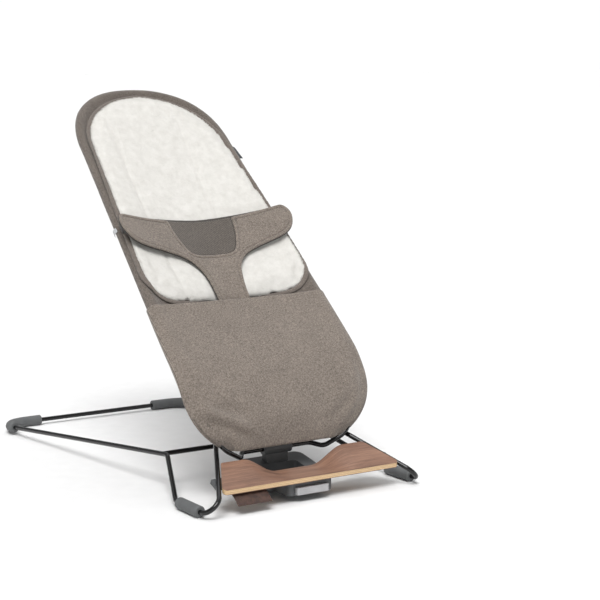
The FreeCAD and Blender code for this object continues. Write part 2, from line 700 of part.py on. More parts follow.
def outline_places(low, high, count):
    """Distances up the seat, closer together towards both ends."""
    middle = (low + high) / 2
    span = (high - low) / 2
    return [middle - span * math.cos(math.pi * k / count) for k in range(count + 1)]


def loop_face(places, width_at):
    """A flat face, symmetric about the middle, whose half width is given by a function."""
    right = [V(width_at(y), y, 0) for y in places]
    left = [V(-p.x, p.y, 0) for p in reversed(right) if p.x > 1e-3]
    points = right + left
    if (points[0] - points[-1]).Length > 1e-3:
        points.append(points[0])
    return Part.Face(Part.makePolygon(points))


def seat_prism(inset):
    """The seat's outline as a tall prism, some way in from the edge."""
    stretch = (TOP - inset - SOLE) / (TOP - SOLE)
    places = [SOLE + (y - SOLE) * stretch for y in outline_places(SOLE, TOP, 60)]
    face = loop_face(places, lambda y: max(0.0, half_width(SOLE + (y - SOLE) / stretch) - inset))
    face.translate(V(0, 0, -60))
    return face.extrude(V(0, 0, 260))


def profile_edges(offset, top):
    """The seat's side profile some way out of its middle line: straight, then curving to the nose."""
    c1 = V(0, CURVE_START, LIFT - CURVE_RADIUS)
    r1 = CURVE_RADIUS + offset

    def round_point(centre, radius, degrees):
        angle = math.radians(90 + degrees)
        return centre + V(0, math.cos(angle), math.sin(angle)) * radius

    c2 = round_point(c1, CURVE_RADIUS - NOSE_RADIUS, NOSE_TURN)
    r2 = NOSE_RADIUS + offset
    start = V(0, top, LIFT + offset)
    knee = round_point(c1, r1, 0)
    nose = round_point(c1, r1, NOSE_TURN)
    end = round_point(c2, r2, NOSE_END)
    return [Part.LineSegment(start, knee).toShape(),
            Part.Arc(knee, round_point(c1, r1, NOSE_TURN / 2), nose).toShape(),
            Part.Arc(nose, round_point(c2, r2, (NOSE_TURN + NOSE_END) / 2), end).toShape()], start, end


def band(inner, outer, top):
    """A layer that follows the side profile between two offsets, wider than the seat."""
    far, far_start, far_end = profile_edges(outer, top)
    near, near_start, near_end = profile_edges(inner, top)
    edges = far + [Part.LineSegment(far_end, near_end).toShape()] + near
    edges.append(Part.LineSegment(near_start, far_start).toShape())
    face = Part.Face(Part.Wire(Part.__sortEdges__(edges)))
    face.translate(V(-230, 0, 0))
    return face.extrude(V(460, 0, 0))


TUBE = dim("tube_dia") / 2
TUBE_INSET = TUBE + 2.0
TUBE_FOOT = 118.0


def tube_path():
    """The tube's centre line: up one side, round the top and down the other."""
    stretch = (TOP - TUBE_INSET - SHOULDER) / (TOP - SHOULDER)
    side = V(half_width(TUBE_FOOT) - TUBE_INSET - 3, TUBE_FOOT, LIFT)
    shoulder = V(SHOULDER_HALF - TUBE_INSET, SHOULDER - 20, LIFT)
    arc_points = []
    count = 12
    for k in range(count + 1):
        turn = math.pi * k / count
        along = abs(math.cos(turn)) ** (2 / CROWN_POWER)
        rise = math.sin(turn) ** (2 / CROWN_POWER)
        x_value = math.copysign(along, math.cos(turn)) * (SHOULDER_HALF - TUBE_INSET - 0.8)
        arc_points.append(V(x_value, SHOULDER + rise * (TOP - SHOULDER) * stretch, LIFT))
    crown = Part.BSplineCurve()
    way_up = (arc_points[0] - side).normalize()
    crown.interpolate(arc_points, InitialTangent=way_up, FinalTangent=V(way_up.x, -way_up.y, 0))
    return Part.Wire([Part.LineSegment(side, arc_points[0]).toShape(), crown.toShape(),
                      Part.LineSegment(arc_points[-1], V(-side.x, side.y, side.z)).toShape()]), side


loop_path, tube_end = tube_path()
tube_ring = Part.Wire(Part.makeCircle(TUBE, tube_end, (loop_path.Edges[0].tangentAt(0))))
tube_solid = loop_path.makePipeShell([tube_ring], True, False, 0)
tube_way = loop_path.Edges[0].tangentAt(0)
SOCKET = 34.0
socket_hole = Part.makeCylinder(SLEEVE_HOLE, SOCKET + 1, tube_end - tube_way, tube_way)
tube = tube_solid.cut(socket_hole).cut(mirror_x(socket_hole))
feature("seat_frame_tube", tube, SEAT)

# The lower wire: the straight hinge run, a bow each side, then up into the tube's ends.
socket_top = tube_end + tube_way * (SOCKET - 2)
wire_points = [V(80, -18, 11), V(113, -13.5, 31), V(131, 3, 43), V(151, 23, 57), V(163, 55, 73),
               tube_end - tube_way * 26]
half_points = [V(66, 0, 0)] + wire_points + [socket_top]
mirrored = [V(-p.x, p.y, p.z) for p in reversed(half_points)]
bow_bends = [14.0, 16.0, 28.0, 40.0, 50.0, 60.0, 30.0]
lower_path = bent_path(mirrored + half_points, list(reversed(bow_bends)) + bow_bends)
feature("seat_lower_wire", rod(lower_path, WIRE), SEAT)

collar = Part.makeCylinder(dim("collar_radius"), 2 * dim("collar_half"), V(-dim("collar_half"), 0, 0), X_WAY)
collar = collar.cut(Part.makeCylinder(WIRE + 0.02, 40, V(-20, 0, 0), X_WAY))
NOTCHES = 9
NOTCH_STEP = 12.0
NOTCH_RADIUS = dim("collar_radius") + 0.6
for k in range(NOTCHES):
    turn = 270 - dim("seat_angle") + (k - 1) * NOTCH_STEP
    angle = math.radians(turn)
    centre = V(-20, math.cos(angle) * NOTCH_RADIUS, math.sin(angle) * NOTCH_RADIUS)
    collar = collar.cut(Part.makeCylinder(1.4, 40, centre, X_WAY))
feature("detent_collar", collar, SEAT)

# ------------------------------------------------------------------ seat fabric

GAP = dim("layer_gap")
COVER = dim("cover_half_thick")
PANEL_T = dim("panel_thick")
PAD_T = dim("pad_thick")

tube_ring = Part.Wire(Part.makeCircle(TUBE + 0.3, tube_end, tube_way))
tube_room = loop_path.makePipeShell([tube_ring], True, False, 0)
tube_tail = Part.makeCylinder(TUBE + 0.3, 60, tube_end + tube_way * 5, tube_way * -1)
wire_room = rod(lower_path, WIRE + 0.4)
cover = band(-COVER, COVER, TOP + 10).common(seat_prism(0.8))
cover = cover.cut(tube_room).cut(tube_tail).cut(mirror_x(tube_tail)).cut(wire_room)
# Beside the risers of the floor frame the hem is cut back, so that it clears them as the seat folds.
for inner_x, outer_x, hem_radius in ((103, 128, 29.0), (125, 152, 36.5)):
    relief = Part.makeCylinder(hem_radius, outer_x - inner_x, V(inner_x, 0, 0), X_WAY)
    cover = cover.cut(relief).cut(mirror_x(relief))
feature("seat_cover", largest(cover), SEAT)

panel = band(COVER + GAP, COVER + GAP + PANEL_T, PANEL_TOP).common(seat_prism(0))
feature("front_panel", largest(panel), SEAT)

PAD_LOW = PANEL_TOP + 1.5
PAD_HIGH = TOP - 19.0
PAD_SOFT = 66.0
BINDING = 10.0


def pad_half(y_value, inset):
    """Half the insert's width: inside the seat's edge, rounded at its lower corners."""
    share = (y_value - PAD_LOW - inset) / (PAD_HIGH - PAD_LOW - 2 * inset)
    on_seat = PAD_LOW + share * (TOP - PAD_LOW)
    edge_gap = 9.0 + 8.0 * share + inset
    width = max(0.0, half_width(on_seat) - edge_gap)
    rise = y_value - PAD_LOW - inset
    soft = PAD_SOFT - inset
    if rise < soft:
        width -= soft - math.sqrt(max(0.0, soft * soft - (soft - rise) ** 2))
    return width


def pad_prism(inset, low, high):
    """The insert's outline as a solid between two heights over the seat's face."""
    places = outline_places(PAD_LOW + inset, PAD_HIGH - inset, 48)
    face = loop_face(places, lambda y: pad_half(y, inset))
    face.translate(V(0, 0, LIFT + low))
    return face.extrude(V(0, 0, high - low))


pad_base = COVER + GAP
insert = pad_prism(BINDING + 0.3, pad_base, pad_base + PAD_T)
feature("insert_pad", insert, SEAT)
binding_hole = pad_prism(BINDING, pad_base - 1, pad_base + PAD_T)
binding = pad_prism(0, pad_base, pad_base + PAD_T * 0.6).cut(binding_hole)
feature("insert_binding", binding, SEAT)

# Harness: a T-shaped flap whose arms curve forwards, in three layers.
HARNESS_RADIUS = 1140.0
HARNESS_BASE = pad_base + PAD_T + 0.6
HARNESS_T = dim("harness_thick")
ARM_TOP = 421.0
ARM_REACH = 168.0
STEM_END = PANEL_TOP + 2.5


def arched(low, high):
    """A layer across the seat, curved about a line in front of it, between two heights."""
    centre_height = LIFT + HARNESS_RADIUS
    outer = Part.makeCylinder(HARNESS_RADIUS - low, 400, V(0, 180, centre_height), Y_WAY)
    inner = Part.makeCylinder(HARNESS_RADIUS - high, 400, V(0, 180, centre_height), Y_WAY)
    return outer.cut(inner).common(block((-200, 200), (190, 560), (LIFT, LIFT + 90)))


def harness_face(inset):
    """The harness seen from the front: stem, flare, lower arm edge, round arm end and straight top."""
    right = [V(29 - inset, STEM_END, 0), V(33 - inset, 285, 0), V(43 - inset, 318 + inset, 0),
             V(62 - inset * 0.8, 337 + inset, 0), V(95, 348 + inset, 0), V(136, 357 + inset, 0),
             V(158 - inset * 0.4, 370 + inset, 0), V(ARM_REACH - inset, 392, 0),
             V(ARM_REACH - 1 - inset, 410, 0), V(ARM_REACH - 9 - inset, ARM_TOP + 2 - inset, 0)]
    lower_edge = Part.BSplineCurve()
    lower_edge.interpolate(right)
    left_edge = Part.BSplineCurve()
    left_edge.interpolate([V(-p.x, p.y, 0) for p in reversed(right)])
    top = Part.Arc(right[-1], V(0, ARM_TOP - 4 - inset, 0), V(-right[-1].x, right[-1].y, 0))
    bottom = Part.LineSegment(V(-right[0].x, STEM_END, 0), right[0])
    return Part.Face(Part.Wire([lower_edge.toShape(), top.toShape(), left_edge.toShape(), bottom.toShape()]))


def harness_prism(face):
    """A face on the seat's plane made into a tall prism in front of it."""
    face.translate(V(0, 0, LIFT))
    return face.extrude(V(0, 0, 90))


def mesh_face(grow):
    """The mesh window: wide at the top, narrower and rounded below."""
    top_y = ARM_TOP + 1.0
    points = [V(63 + grow, top_y + 20, 0), V(61 + grow, 400, 0), V(48 + grow, 346 - grow, 0),
              V(-48 - grow, 346 - grow, 0), V(-61 - grow, 400, 0), V(-63 - grow, top_y + 20, 0)]
    outline = bent_path([V(0, top_y + 20, 0)] + points + [V(0, top_y + 20, 0)],
                        [0.5, 40.0, 14.0 + grow, 14.0 + grow, 40.0, 0.5])
    return Part.Face(outline)


flap = arched(HARNESS_BASE + 2.4, HARNESS_BASE + 2.4 + HARNESS_T).common(harness_prism(harness_face(0)))
flap = flap.cut(harness_prism(mesh_face(0.3)))
feature("harness_panel", largest(flap), SEAT)
window = arched(HARNESS_BASE + 2.8, HARNESS_BASE + 4.2).common(harness_prism(harness_face(0.8)))
feature("harness_mesh", largest(window.common(harness_prism(mesh_face(0)))), SEAT)
backing = arched(HARNESS_BASE, HARNESS_BASE + 1.8).common(harness_prism(harness_face(1.5)))
feature("harness_backing", largest(backing), SEAT)

# Side clips under the arm ends, their straps, and the ribbons that hold the straps to the tube.
CLIP_Y = 404.0
edge_x = half_width(CLIP_Y)
clip_span = (LIFT + pad_base + 2, LIFT + HARNESS_BASE + 6)
clip = block((edge_x - 17, edge_x - 7), (CLIP_Y - 11, CLIP_Y + 11), clip_span)
arm_room = arched(HARNESS_BASE - 0.4, HARNESS_BASE + 40)
clip = largest(clip.cut(arm_room).cut(pad_prism(-0.5, pad_base - 5, pad_base + PAD_T + 0.5)))
both_sides("harness_clip", clip, SEAT)
strap_span = (LIFT + COVER + 0.3, LIFT + HARNESS_BASE + 1)
strap = block((edge_x - 6.6, edge_x - 4.6), (CLIP_Y - 9, CLIP_Y + 9), strap_span)
both_sides("clip_strap", largest(strap.cut(arm_room)), SEAT)
RIBBON_Y = 409.0
ribbon = block((edge_x + 0.6, edge_x + 2.2), (RIBBON_Y - 4.5, RIBBON_Y + 4.5), (LIFT - 8, LIFT + 9))
both_sides("ribbon_loop", ribbon.makeFillet(0.6, ribbon.Edges), SEAT)

TAG_Y = 582.0
tag_x = half_width(TAG_Y)
tag = block((tag_x + 1.6, tag_x + 7), (TAG_Y - 15, TAG_Y + 15), (LIFT - 0.9, LIFT + 0.9))
feature("side_tag", tag, SEAT)

# ------------------------------------------------------------------ checks and files

doc.recompute()
for obj in doc.Objects:
    bad = [state for state in obj.State if state in ("Invalid", "Error")]
    if bad:
        raise RuntimeError("%s is %s" % (obj.Label, bad))
for obj in NODES:
    if obj.Shape.isNull() or not obj.Shape.isValid() or not obj.Shape.Solids:
        raise RuntimeError("%s has no valid solid" % obj.Label)
for obj in NODES:
    obj.Shape.exportStep("parts/%s.step" % obj.Label)
print("nodes", len(NODES))
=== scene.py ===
import json
import math

import bpy
import numpy as np
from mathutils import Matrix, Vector, geometry
from mathutils.bvhtree import BVHTree


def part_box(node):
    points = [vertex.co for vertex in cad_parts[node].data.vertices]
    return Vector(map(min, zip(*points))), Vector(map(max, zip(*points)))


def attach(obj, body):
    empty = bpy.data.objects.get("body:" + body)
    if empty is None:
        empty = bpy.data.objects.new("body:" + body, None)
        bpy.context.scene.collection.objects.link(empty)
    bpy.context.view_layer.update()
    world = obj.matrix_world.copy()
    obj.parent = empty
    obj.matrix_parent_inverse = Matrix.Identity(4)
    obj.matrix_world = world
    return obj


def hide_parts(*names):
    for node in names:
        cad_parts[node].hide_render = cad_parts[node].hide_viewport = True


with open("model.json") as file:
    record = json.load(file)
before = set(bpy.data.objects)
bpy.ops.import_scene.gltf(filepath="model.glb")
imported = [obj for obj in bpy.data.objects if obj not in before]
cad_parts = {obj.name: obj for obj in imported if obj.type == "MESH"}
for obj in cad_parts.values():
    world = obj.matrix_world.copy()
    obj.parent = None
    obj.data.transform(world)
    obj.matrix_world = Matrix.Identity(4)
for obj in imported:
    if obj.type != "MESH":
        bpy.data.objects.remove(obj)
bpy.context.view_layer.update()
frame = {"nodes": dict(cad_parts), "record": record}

rng = np.random.default_rng(11)
MM = 0.001

# ---------------------------------------------------------------- the seat's own space
# Cloth is laid out in cloth space, in millimetres: x across the seat, u up its middle surface and
# n out of it. The middle surface is straight, then turns down over two arcs to the front edge.

HINGE = np.array((0, -0.2634, 0.065))
SEAT_ANGLE = math.radians(42.5)
LIFT = 87.6
TOP = 746.0
SHOULDER = 600.0
SHOULDER_HALF = 151.0
WAIST = 242.0
WAIST_HALF = 171.5
HIP_START = 80.0
HIP_HALF = 177.0
SOLE = -25.0
CROWN_POWER = 2.3
SOLE_POWER = 2.6
CURVE_START = 130.0
CURVE_RADIUS = 200.0
CURVE_TURN = math.radians(43.5)
NOSE_RADIUS = 16.0
HEM = -25.5
EDGE_BULGE = 8.4


def arc_turns(u):
    """How far the middle surface has turned at u: over the large arc, then over the nose."""
    turn = (CURVE_START - u) / CURVE_RADIUS
    large = np.clip(turn, 0, CURVE_TURN)
    nose = np.maximum(turn - CURVE_TURN, 0) * CURVE_RADIUS / NOSE_RADIUS
    return large, nose


def to_world(x, u, n):
    """Cloth space to the row frame, in metres."""
    x, u, n = (np.asarray(value, float) for value in (x, u, n))
    large, nose = arc_turns(u)
    drop = CURVE_RADIUS - NOSE_RADIUS
    reach = np.maximum(u, CURVE_START) - drop * np.sin(large) - (NOSE_RADIUS + n) * np.sin(large + nose)
    height = LIFT - CURVE_RADIUS + drop * np.cos(large) + (NOSE_RADIUS + n) * np.cos(large + nose)
    y = reach * math.cos(SEAT_ANGLE) - height * math.sin(SEAT_ANGLE)
    z = reach * math.sin(SEAT_ANGLE) + height * math.cos(SEAT_ANGLE)
    return np.stack([x * MM, HINGE[1] + y * MM, HINGE[2] + z * MM], axis=-1)


def to_cloth(points):
    """The row frame back to cloth space, for a mesh that was remeshed or simulated."""
    y = (points[:, 1] - HINGE[1]) / MM
    z = (points[:, 2] - HINGE[2]) / MM
    reach = y * math.cos(SEAT_ANGLE) + z * math.sin(SEAT_ANGLE)
    height = z * math.cos(SEAT_ANGLE) - y * math.sin(SEAT_ANGLE)
    below = CURVE_START - reach
    inner = height - (LIFT - CURVE_RADIUS)
    turn = np.arctan2(below, inner)
    curved = below > 0
    u = np.where(curved, CURVE_START - turn * CURVE_RADIUS, reach)
    n = np.where(curved, np.hypot(below, inner) - CURVE_RADIUS, height - LIFT)
    return np.stack([points[:, 0] / MM, u, n], axis=-1)


def half_width(u):
    """Half the seat's width at u."""
    u = np.asarray(u, float)
    large, nose = arc_turns(u)
    drop = CURVE_RADIUS - NOSE_RADIUS
    y = np.maximum(u, CURVE_START) - drop * np.sin(large) - NOSE_RADIUS * np.sin(large + nose)
    crown = np.clip((y - SHOULDER) / (TOP - SHOULDER), 0, 1)
    sole = np.clip((HIP_START - y) / (HIP_START - SOLE), 0, 1)
    rise = np.clip((y - WAIST) / (SHOULDER - WAIST), 0, 1)
    hips = np.clip((WAIST - y) / (WAIST - HIP_START), 0, 1)
    width = WAIST_HALF + rise * (SHOULDER_HALF - WAIST_HALF)
    width = width + (HIP_HALF - WAIST_HALF) * np.sin(hips * math.pi / 2)
    crown_share = (1 - crown ** CROWN_POWER) ** (1 / CROWN_POWER)
    return width * crown_share * (1 - sole ** SOLE_POWER) ** (1 / SOLE_POWER)


INSET_PLACES = (118, WAIST, SHOULDER, TOP)
INSETS = (13.6, 14.4, 9.8, 9.0)


def tube_inset(u):
    """How far in from the edge the side tube's centre lies at u."""
    return np.interp(u, INSET_PLACES, INSETS)


def smooth(low, high, value):
    """0 below low, 1 above high and smooth between."""
    t = np.clip((np.asarray(value, float) - low) / (high - low), 0, 1)
    return t * t * (3 - 2 * t)


def ripple(x, u, size, seed):
    """A smooth, repeatable unevenness, about -1 to 1, with features of that size in mm."""
    local = np.random.default_rng(seed)
    total = np.zeros(np.broadcast(x, u).shape)
    for _ in range(9):
        angle = local.uniform(0, math.pi)
        pitch = size * local.uniform(0.7, 1.8)
        phase = local.uniform(0, 2 * math.pi)
        total = total + np.sin((x * math.cos(angle) + u * math.sin(angle)) * 2 * math.pi / pitch + phase)
    return total / 4.5


# ---------------------------------------------------------------- outlines in cloth space

def unit(vectors):
    """The same directions with length 1."""
    return vectors / np.linalg.norm(vectors, axis=-1, keepdims=True)


def run_of(line):
    """The distance along a line to each of its points."""
    return np.concatenate([[0], np.cumsum(np.linalg.norm(np.diff(line, axis=0), axis=1))])


def resample(points, step, closed=True):
    """The same line with points at even distances."""
    points = np.asarray(points, float)
    if closed:
        points = np.vstack([points, points[:1]])
    lengths = run_of(points)
    count = max(8, round(lengths[-1] / step))
    places = np.linspace(0, lengths[-1], count, endpoint=not closed)
    return np.stack([np.interp(places, lengths, points[:, k]) for k in range(points.shape[1])], axis=-1)


def soften(loop, passes):
    """Rounds the corners of a closed line."""
    for _ in range(passes):
        loop = (np.roll(loop, 1, axis=0) + 2 * loop + np.roll(loop, -1, axis=0)) / 4
    return loop


def end_dense(low, high, count):
    """Places from low to high, closer together towards both ends."""
    return (low + high) / 2 - (high - low) / 2 * np.cos(np.linspace(0, math.pi, count))


def mirrored(line):
    """The line's mirror image, run the other way."""
    return line[::-1] * (-1, 1)


def symmetric_loop(places, widths, step, corner=6):
    """A closed outline, anticlockwise, from half widths at places up the seat."""
    right = np.stack([widths, places], axis=-1)
    left = mirrored(right)
    loop = np.vstack([right, left[left[:, 0] < -1e-6]])
    return soften(resample(loop, step), corner)


def loop_normals(loop):
    """Unit vectors that point into the cloth, on the left of the line's direction."""
    way = unit(np.roll(loop, -1, axis=0) - np.roll(loop, 1, axis=0))
    return np.stack([-way[:, 1], way[:, 0]], axis=-1)


def nearest_gap(points, line):
    """Distance from each point to the nearest point of a line."""
    gaps = np.empty(len(points))
    for start in range(0, len(points), 2000):
        part = points[start:start + 2000]
        gaps[start:start + 2000] = np.sqrt(((part[:, None] - line[None]) ** 2).sum(-1)).min(1)
    return gaps


def inside(points, loop):
    """Which points are inside a closed line."""
    found = np.zeros(len(points), bool)
    ends = np.roll(loop, -1, axis=0)
    for (x1, y1), (x2, y2) in zip(loop, ends):
        if y1 == y2:
            continue
        crosses = (points[:, 1] < y1) != (points[:, 1] < y2)
        at = x1 + (points[:, 1] - y1) * (x2 - x1) / (y2 - y1)
        found ^= crosses & (points[:, 0] < at)
    return found


edge_places = end_dense(HEM, TOP, 400)
edge_right = np.stack([half_width(edge_places), edge_places], axis=-1)
EDGE_LINE = resample(np.vstack([edge_right, mirrored(edge_right)]), 1.5, closed=False)


def side_gap(x, u):
    """Distance in from the seat's edge, at the sides and round the top."""
    points = np.stack([np.ravel(x), np.ravel(u)], axis=-1)
    return nearest_gap(points, EDGE_LINE).reshape(np.shape(x))


# ---------------------------------------------------------------- meshes

def new_object(name, data):
    """An object with that data, in the scene."""
    obj = bpy.data.objects.new(name, data)
    bpy.context.scene.collection.objects.link(obj)
    return obj


def add_object(name, points, faces, body, material):
    """A smooth mesh object that rides on a body and takes its finish from a slot."""
    mesh = bpy.data.meshes.new(name)
    mesh.from_pydata([tuple(p) for p in np.asarray(points)], [], [tuple(int(i) for i in f) for f in faces])
    mesh.validate()
    mesh.polygons.foreach_set("use_smooth", [True] * len(mesh.polygons))
    mesh.materials.append(material)
    obj = new_object(name, mesh)
    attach(obj, body)
    return obj


def read_threes(items, what, kind=float):
    """One attribute with three values from each of a mesh's items."""
    flat = np.empty(len(items) * 3, kind)
    items.foreach_get(what, flat)
    return flat.reshape(-1, 3)


def keep_cloth_space(obj, cloth=None):
    """Stores each point's cloth space place, in metres, for the weave to follow."""
    if cloth is None:
        cloth = to_cloth(read_threes(obj.data.vertices, "co"))
    attribute = obj.data.attributes.new("cloth", "FLOAT_VECTOR", "POINT")
    attribute.data.foreach_set("vector", (np.asarray(cloth) * MM).astype(np.float32).ravel())


def fill_inside(loops, spacing):
    """Triangles between closed lines, with even points in the open area."""
    outer = loops[0]
    low, high = outer.min(0), outer.max(0)
    columns = np.arange(low[0], high[0], spacing)
    rows = np.arange(low[1], high[1], spacing * 0.866)
    grid = np.array([(c + spacing / 2 * (k % 2), r) for k, r in enumerate(rows) for c in columns])
    grid[:, 0] += (low[0] + high[0]) / 2 - (columns[0] + columns[-1]) / 2
    keep = inside(grid, outer)
    for hole in loops[1:]:
        keep &= ~inside(grid, hole)
    grid = grid[keep]
    grid = grid[nearest_gap(grid, np.vstack(loops)) > spacing * 0.62]
    points = np.vstack(loops + [grid])
    edges = []
    start = 0
    for loop in loops:
        count = len(loop)
        edges += [(start + k, start + (k + 1) % count) for k in range(count)]
        start += count
    result = geometry.delaunay_2d_cdt([Vector(p) for p in points], edges, [], 1, 1e-5)
    made, faces, origins = result[0], result[2], result[3]
    origin = []
    extra = []
    for place, sources in zip(made, origins):
        if not sources:
            extra.append(tuple(place))
        origin.append(sources[0] if sources else len(points) + len(extra) - 1)
    if extra:
        points = np.vstack([points, extra])
    centres = np.array([[sum(made[i][k] for i in face) / len(face) for k in (0, 1)] for face in faces])
    keep = np.ones(len(faces), bool)
    for hole in loops[1:]:
        keep &= ~inside(centres, hole)
    kept = [tuple(origin[i] for i in face) for face, ok in zip(faces, keep) if ok]
    return points, kept


def soft_shell(loops, rim, front, back, spacing):
    """A closed soft form in cloth space. rim lists (depth in from the edge, share of the thickness);
    front and back give the two faces' heights at x and u."""
    rings = [[loop + loop_normals(loop) * depth for depth, _ in rim] for loop in loops]
    inner, triangles = fill_inside([ring[-1] for ring in rings], spacing)
    plan = [ring[k] for ring in rings for k in range(len(rim) - 1)] + [inner]
    shares = [np.full(len(ring[0]), rim[k][1]) for ring in rings for k in range(len(rim) - 1)]
    shares.append(np.ones(len(inner)))
    plan, shares = np.vstack(plan), np.concatenate(shares)
    near, far = front(plan[:, 0], plan[:, 1]), back(plan[:, 0], plan[:, 1])
    middle = (near + far) / 2
    count = len(plan)
    sides = []
    for height in (near, far):
        sides.append(np.column_stack([plan, middle + shares * (height - middle)]))
    points = np.vstack(sides)
    faces = []
    inner_start = count - len(inner)
    outer_index = np.arange(2 * count)
    ring_start, inner_offset = 0, 0
    for ring in rings:
        size = len(ring[0])
        starts = [ring_start + k * size for k in range(len(rim) - 1)] + [inner_start + inner_offset]
        for a, b in zip(starts, starts[1:]):
            for k in range(size):
                j = (k + 1) % size
                faces.append((a + k, a + j, b + j, b + k))
        outer_index[ring_start + count:ring_start + count + size] = np.arange(ring_start, ring_start + size)
        ring_start += size * (len(rim) - 1)
        inner_offset += size
    faces += [tuple(inner_start + i for i in triangle) for triangle in triangles]
    faces += [tuple(outer_index[i + count] for i in reversed(face)) for face in faces]
    used = np.unique(np.concatenate([np.array(face) for face in faces]))
    renumber = np.full(2 * count, -1)
    renumber[used] = np.arange(len(used))
    return points[used], [tuple(renumber[i] for i in face) for face in faces]


def cloth_piece(name, shell, slot, look=None):
    """A piece of the seat from a soft shell, with its slot's look or one of its own."""
    cloth, faces = shell
    obj = add_object(name, to_world(*cloth.T), faces, "seat", looks[look or slot])
    keep_cloth_space(obj, cloth)
    return obj


# Each stitch in mm: its length, the gap after it, its thickness and how far its middle stands up; then
# its girth at shares of its length.
STITCH = 3.0
STITCH_GAP = 1.5
THREAD = 0.55
STITCH_PROUD = 0.3
STITCH_STATIONS = ((0.0, 0.25), (0.18, 0.85), (0.5, 1.0), (0.82, 0.85), (1.0, 0.25))
STITCH_SIDES = 6


def tube_faces(first, rings, size):
    """Faces of a closed tube: rings of that many points, numbered from first, and its two ends."""
    last = first + (rings - 1) * size
    faces = []
    for a in range(first, last, size):
        for k in range(size):
            j = (k + 1) % size
            faces.append((a + k, a + j, a + size + j, a + size + k))
    faces.append(tuple(first + k for k in reversed(range(size))))
    faces.append(tuple(last + k for k in range(size)))
    return faces


def point_on(line, lengths, place):
    """The point at a place along a line of known lengths."""
    return np.array([np.interp(place, lengths, line[:, k]) for k in range(3)])


def stitch_row(name, line, up, slot):
    """Stitches along a line on the seat: closed little grains of thread, standing up from the line."""
    lengths = run_of(line) / MM
    count = int((lengths[-1] + STITCH_GAP) // (STITCH + STITCH_GAP))
    starts = np.arange(count) * (lengths[-1] + STITCH_GAP) / count
    points, faces = [], []
    for start in starts:
        first = len(points)
        for share, girth in STITCH_STATIONS:
            at = start + share * STITCH
            centre = point_on(line, lengths, at)
            way = point_on(line, lengths, at + 0.5) - point_on(line, lengths, at - 0.5)
            out = point_on(up, lengths, at)
            rise = STITCH_PROUD * math.sin(math.pi * share)
            way = way / max(np.linalg.norm(way), 1e-9)
            across = unit(np.cross(way, out))
            for k in range(STITCH_SIDES):
                turn = 2 * math.pi * k / STITCH_SIDES
                lift = math.sin(turn) * THREAD / 2 + rise
                offset = across * math.cos(turn) * THREAD / 2 + out * lift
                points.append(centre + (offset * girth) * MM)
        faces += tube_faces(first, len(STITCH_STATIONS), STITCH_SIDES)
    return add_object(name, points, faces, "seat", looks["thread"])


def seat_line(x, u, n):
    """A line on the seat with its outward direction, for stitches."""
    return to_world(x, u, n), to_world(x, u, np.asarray(n) + 1) / MM - to_world(x, u, n) / MM


def strap(name, path, across, width, thick, body, slot):
    """A flat band with rounded edges along a path in the row frame; across is its width's direction."""
    path = resample(np.asarray(path), 1.2 * MM, closed=False)
    across = unit(np.asarray(across, float))
    out = unit(np.cross(unit(np.gradient(path, axis=0)), across))
    section = []
    half = width / 2 - thick / 2
    for end in (1, -1):
        for k in range(7):
            turn = -math.pi / 2 + math.pi * k / 6
            section.append((end * (half + thick / 2 * math.cos(turn)), end * thick / 2 * math.sin(turn)))
    extra = [(half * (1 - 2 * k / 8), thick / 2) for k in range(1, 8)]
    section = section[:7] + extra + section[7:] + [(-a, -b) for a, b in extra]
    points = []
    for k, (centre, normal) in enumerate(zip(path, out)):
        thin = 0.35 if k in (0, len(path) - 1) else 1.0
        for a, b in section:
            points.append(centre + (across * a + normal * b * thin) * MM)
    band = add_object(name, points, tube_faces(0, len(path), len(section)), body, looks[slot])
    if body == "seat":
        keep_cloth_space(band)
    return band


# ---------------------------------------------------------------- materials

def make(tree, kind, inputs=None, **settings):
    """A node with its settings and inputs; an input is a value or another node's socket."""
    node = tree.nodes.new(kind)
    for key, value in settings.items():
        setattr(node, key, value)
    for key, value in (inputs or {}).items():
        if isinstance(value, bpy.types.NodeSocket):
            tree.links.new(value, node.inputs[key])
        else:
            node.inputs[key].default_value = value
    return node


def blend_colour(tree, share, first, second, kind="MIX"):
    """Two colours mixed by a share; each is a socket or a plain colour."""
    node = make(tree, "ShaderNodeMix", data_type="RGBA", blend_type=kind)
    for index, value in ((0, share), (6, first), (7, second)):
        if isinstance(value, bpy.types.NodeSocket):
            tree.links.new(value, node.inputs[index])
        elif index:
            node.inputs[index].default_value = (*value, 1)
        else:
            node.inputs[index].default_value = value
    return node.outputs[2]


def maths(tree, operation, *values):
    """A Math node on numbers or sockets."""
    return make(tree, "ShaderNodeMath", dict(enumerate(values)), operation=operation).outputs[0]


def weighted(tree, *pairs):
    """The sum of values, each multiplied by its weight."""
    total = None
    for value, weight in pairs:
        if weight != 1:
            value = maths(tree, "MULTIPLY", value, weight)
        total = value if total is None else maths(tree, "ADD", total, value)
    return total


def stretched(tree, coords, scale):
    """Coordinates scaled by a different amount each way."""
    return make(tree, "ShaderNodeMapping", {"Vector": coords, "Scale": scale}).outputs[0]


def noise_of(tree, coords, scale, detail=2.0, rough=0.5):
    """A noise pattern's strength."""
    inputs = {"Vector": coords, "Scale": scale, "Detail": detail, "Roughness": rough}
    return make(tree, "ShaderNodeTexNoise", inputs).outputs["Fac"]


def ramp(tree, value, *stops):
    """A value turned into a colour or a number by stops (place, colour)."""
    node = make(tree, "ShaderNodeValToRGB", {"Fac": value})
    elements = node.color_ramp.elements
    while len(elements) < len(stops):
        elements.new(0.5)
    for element, (place, colour) in zip(elements, stops):
        element.position = place
        element.color = (*colour, 1) if hasattr(colour, "__len__") else (colour, colour, colour, 1)
    return node.outputs["Color"]


# A band texture of scale 1 repeats after this length, in metres.
WAVE_PERIOD = 0.314159


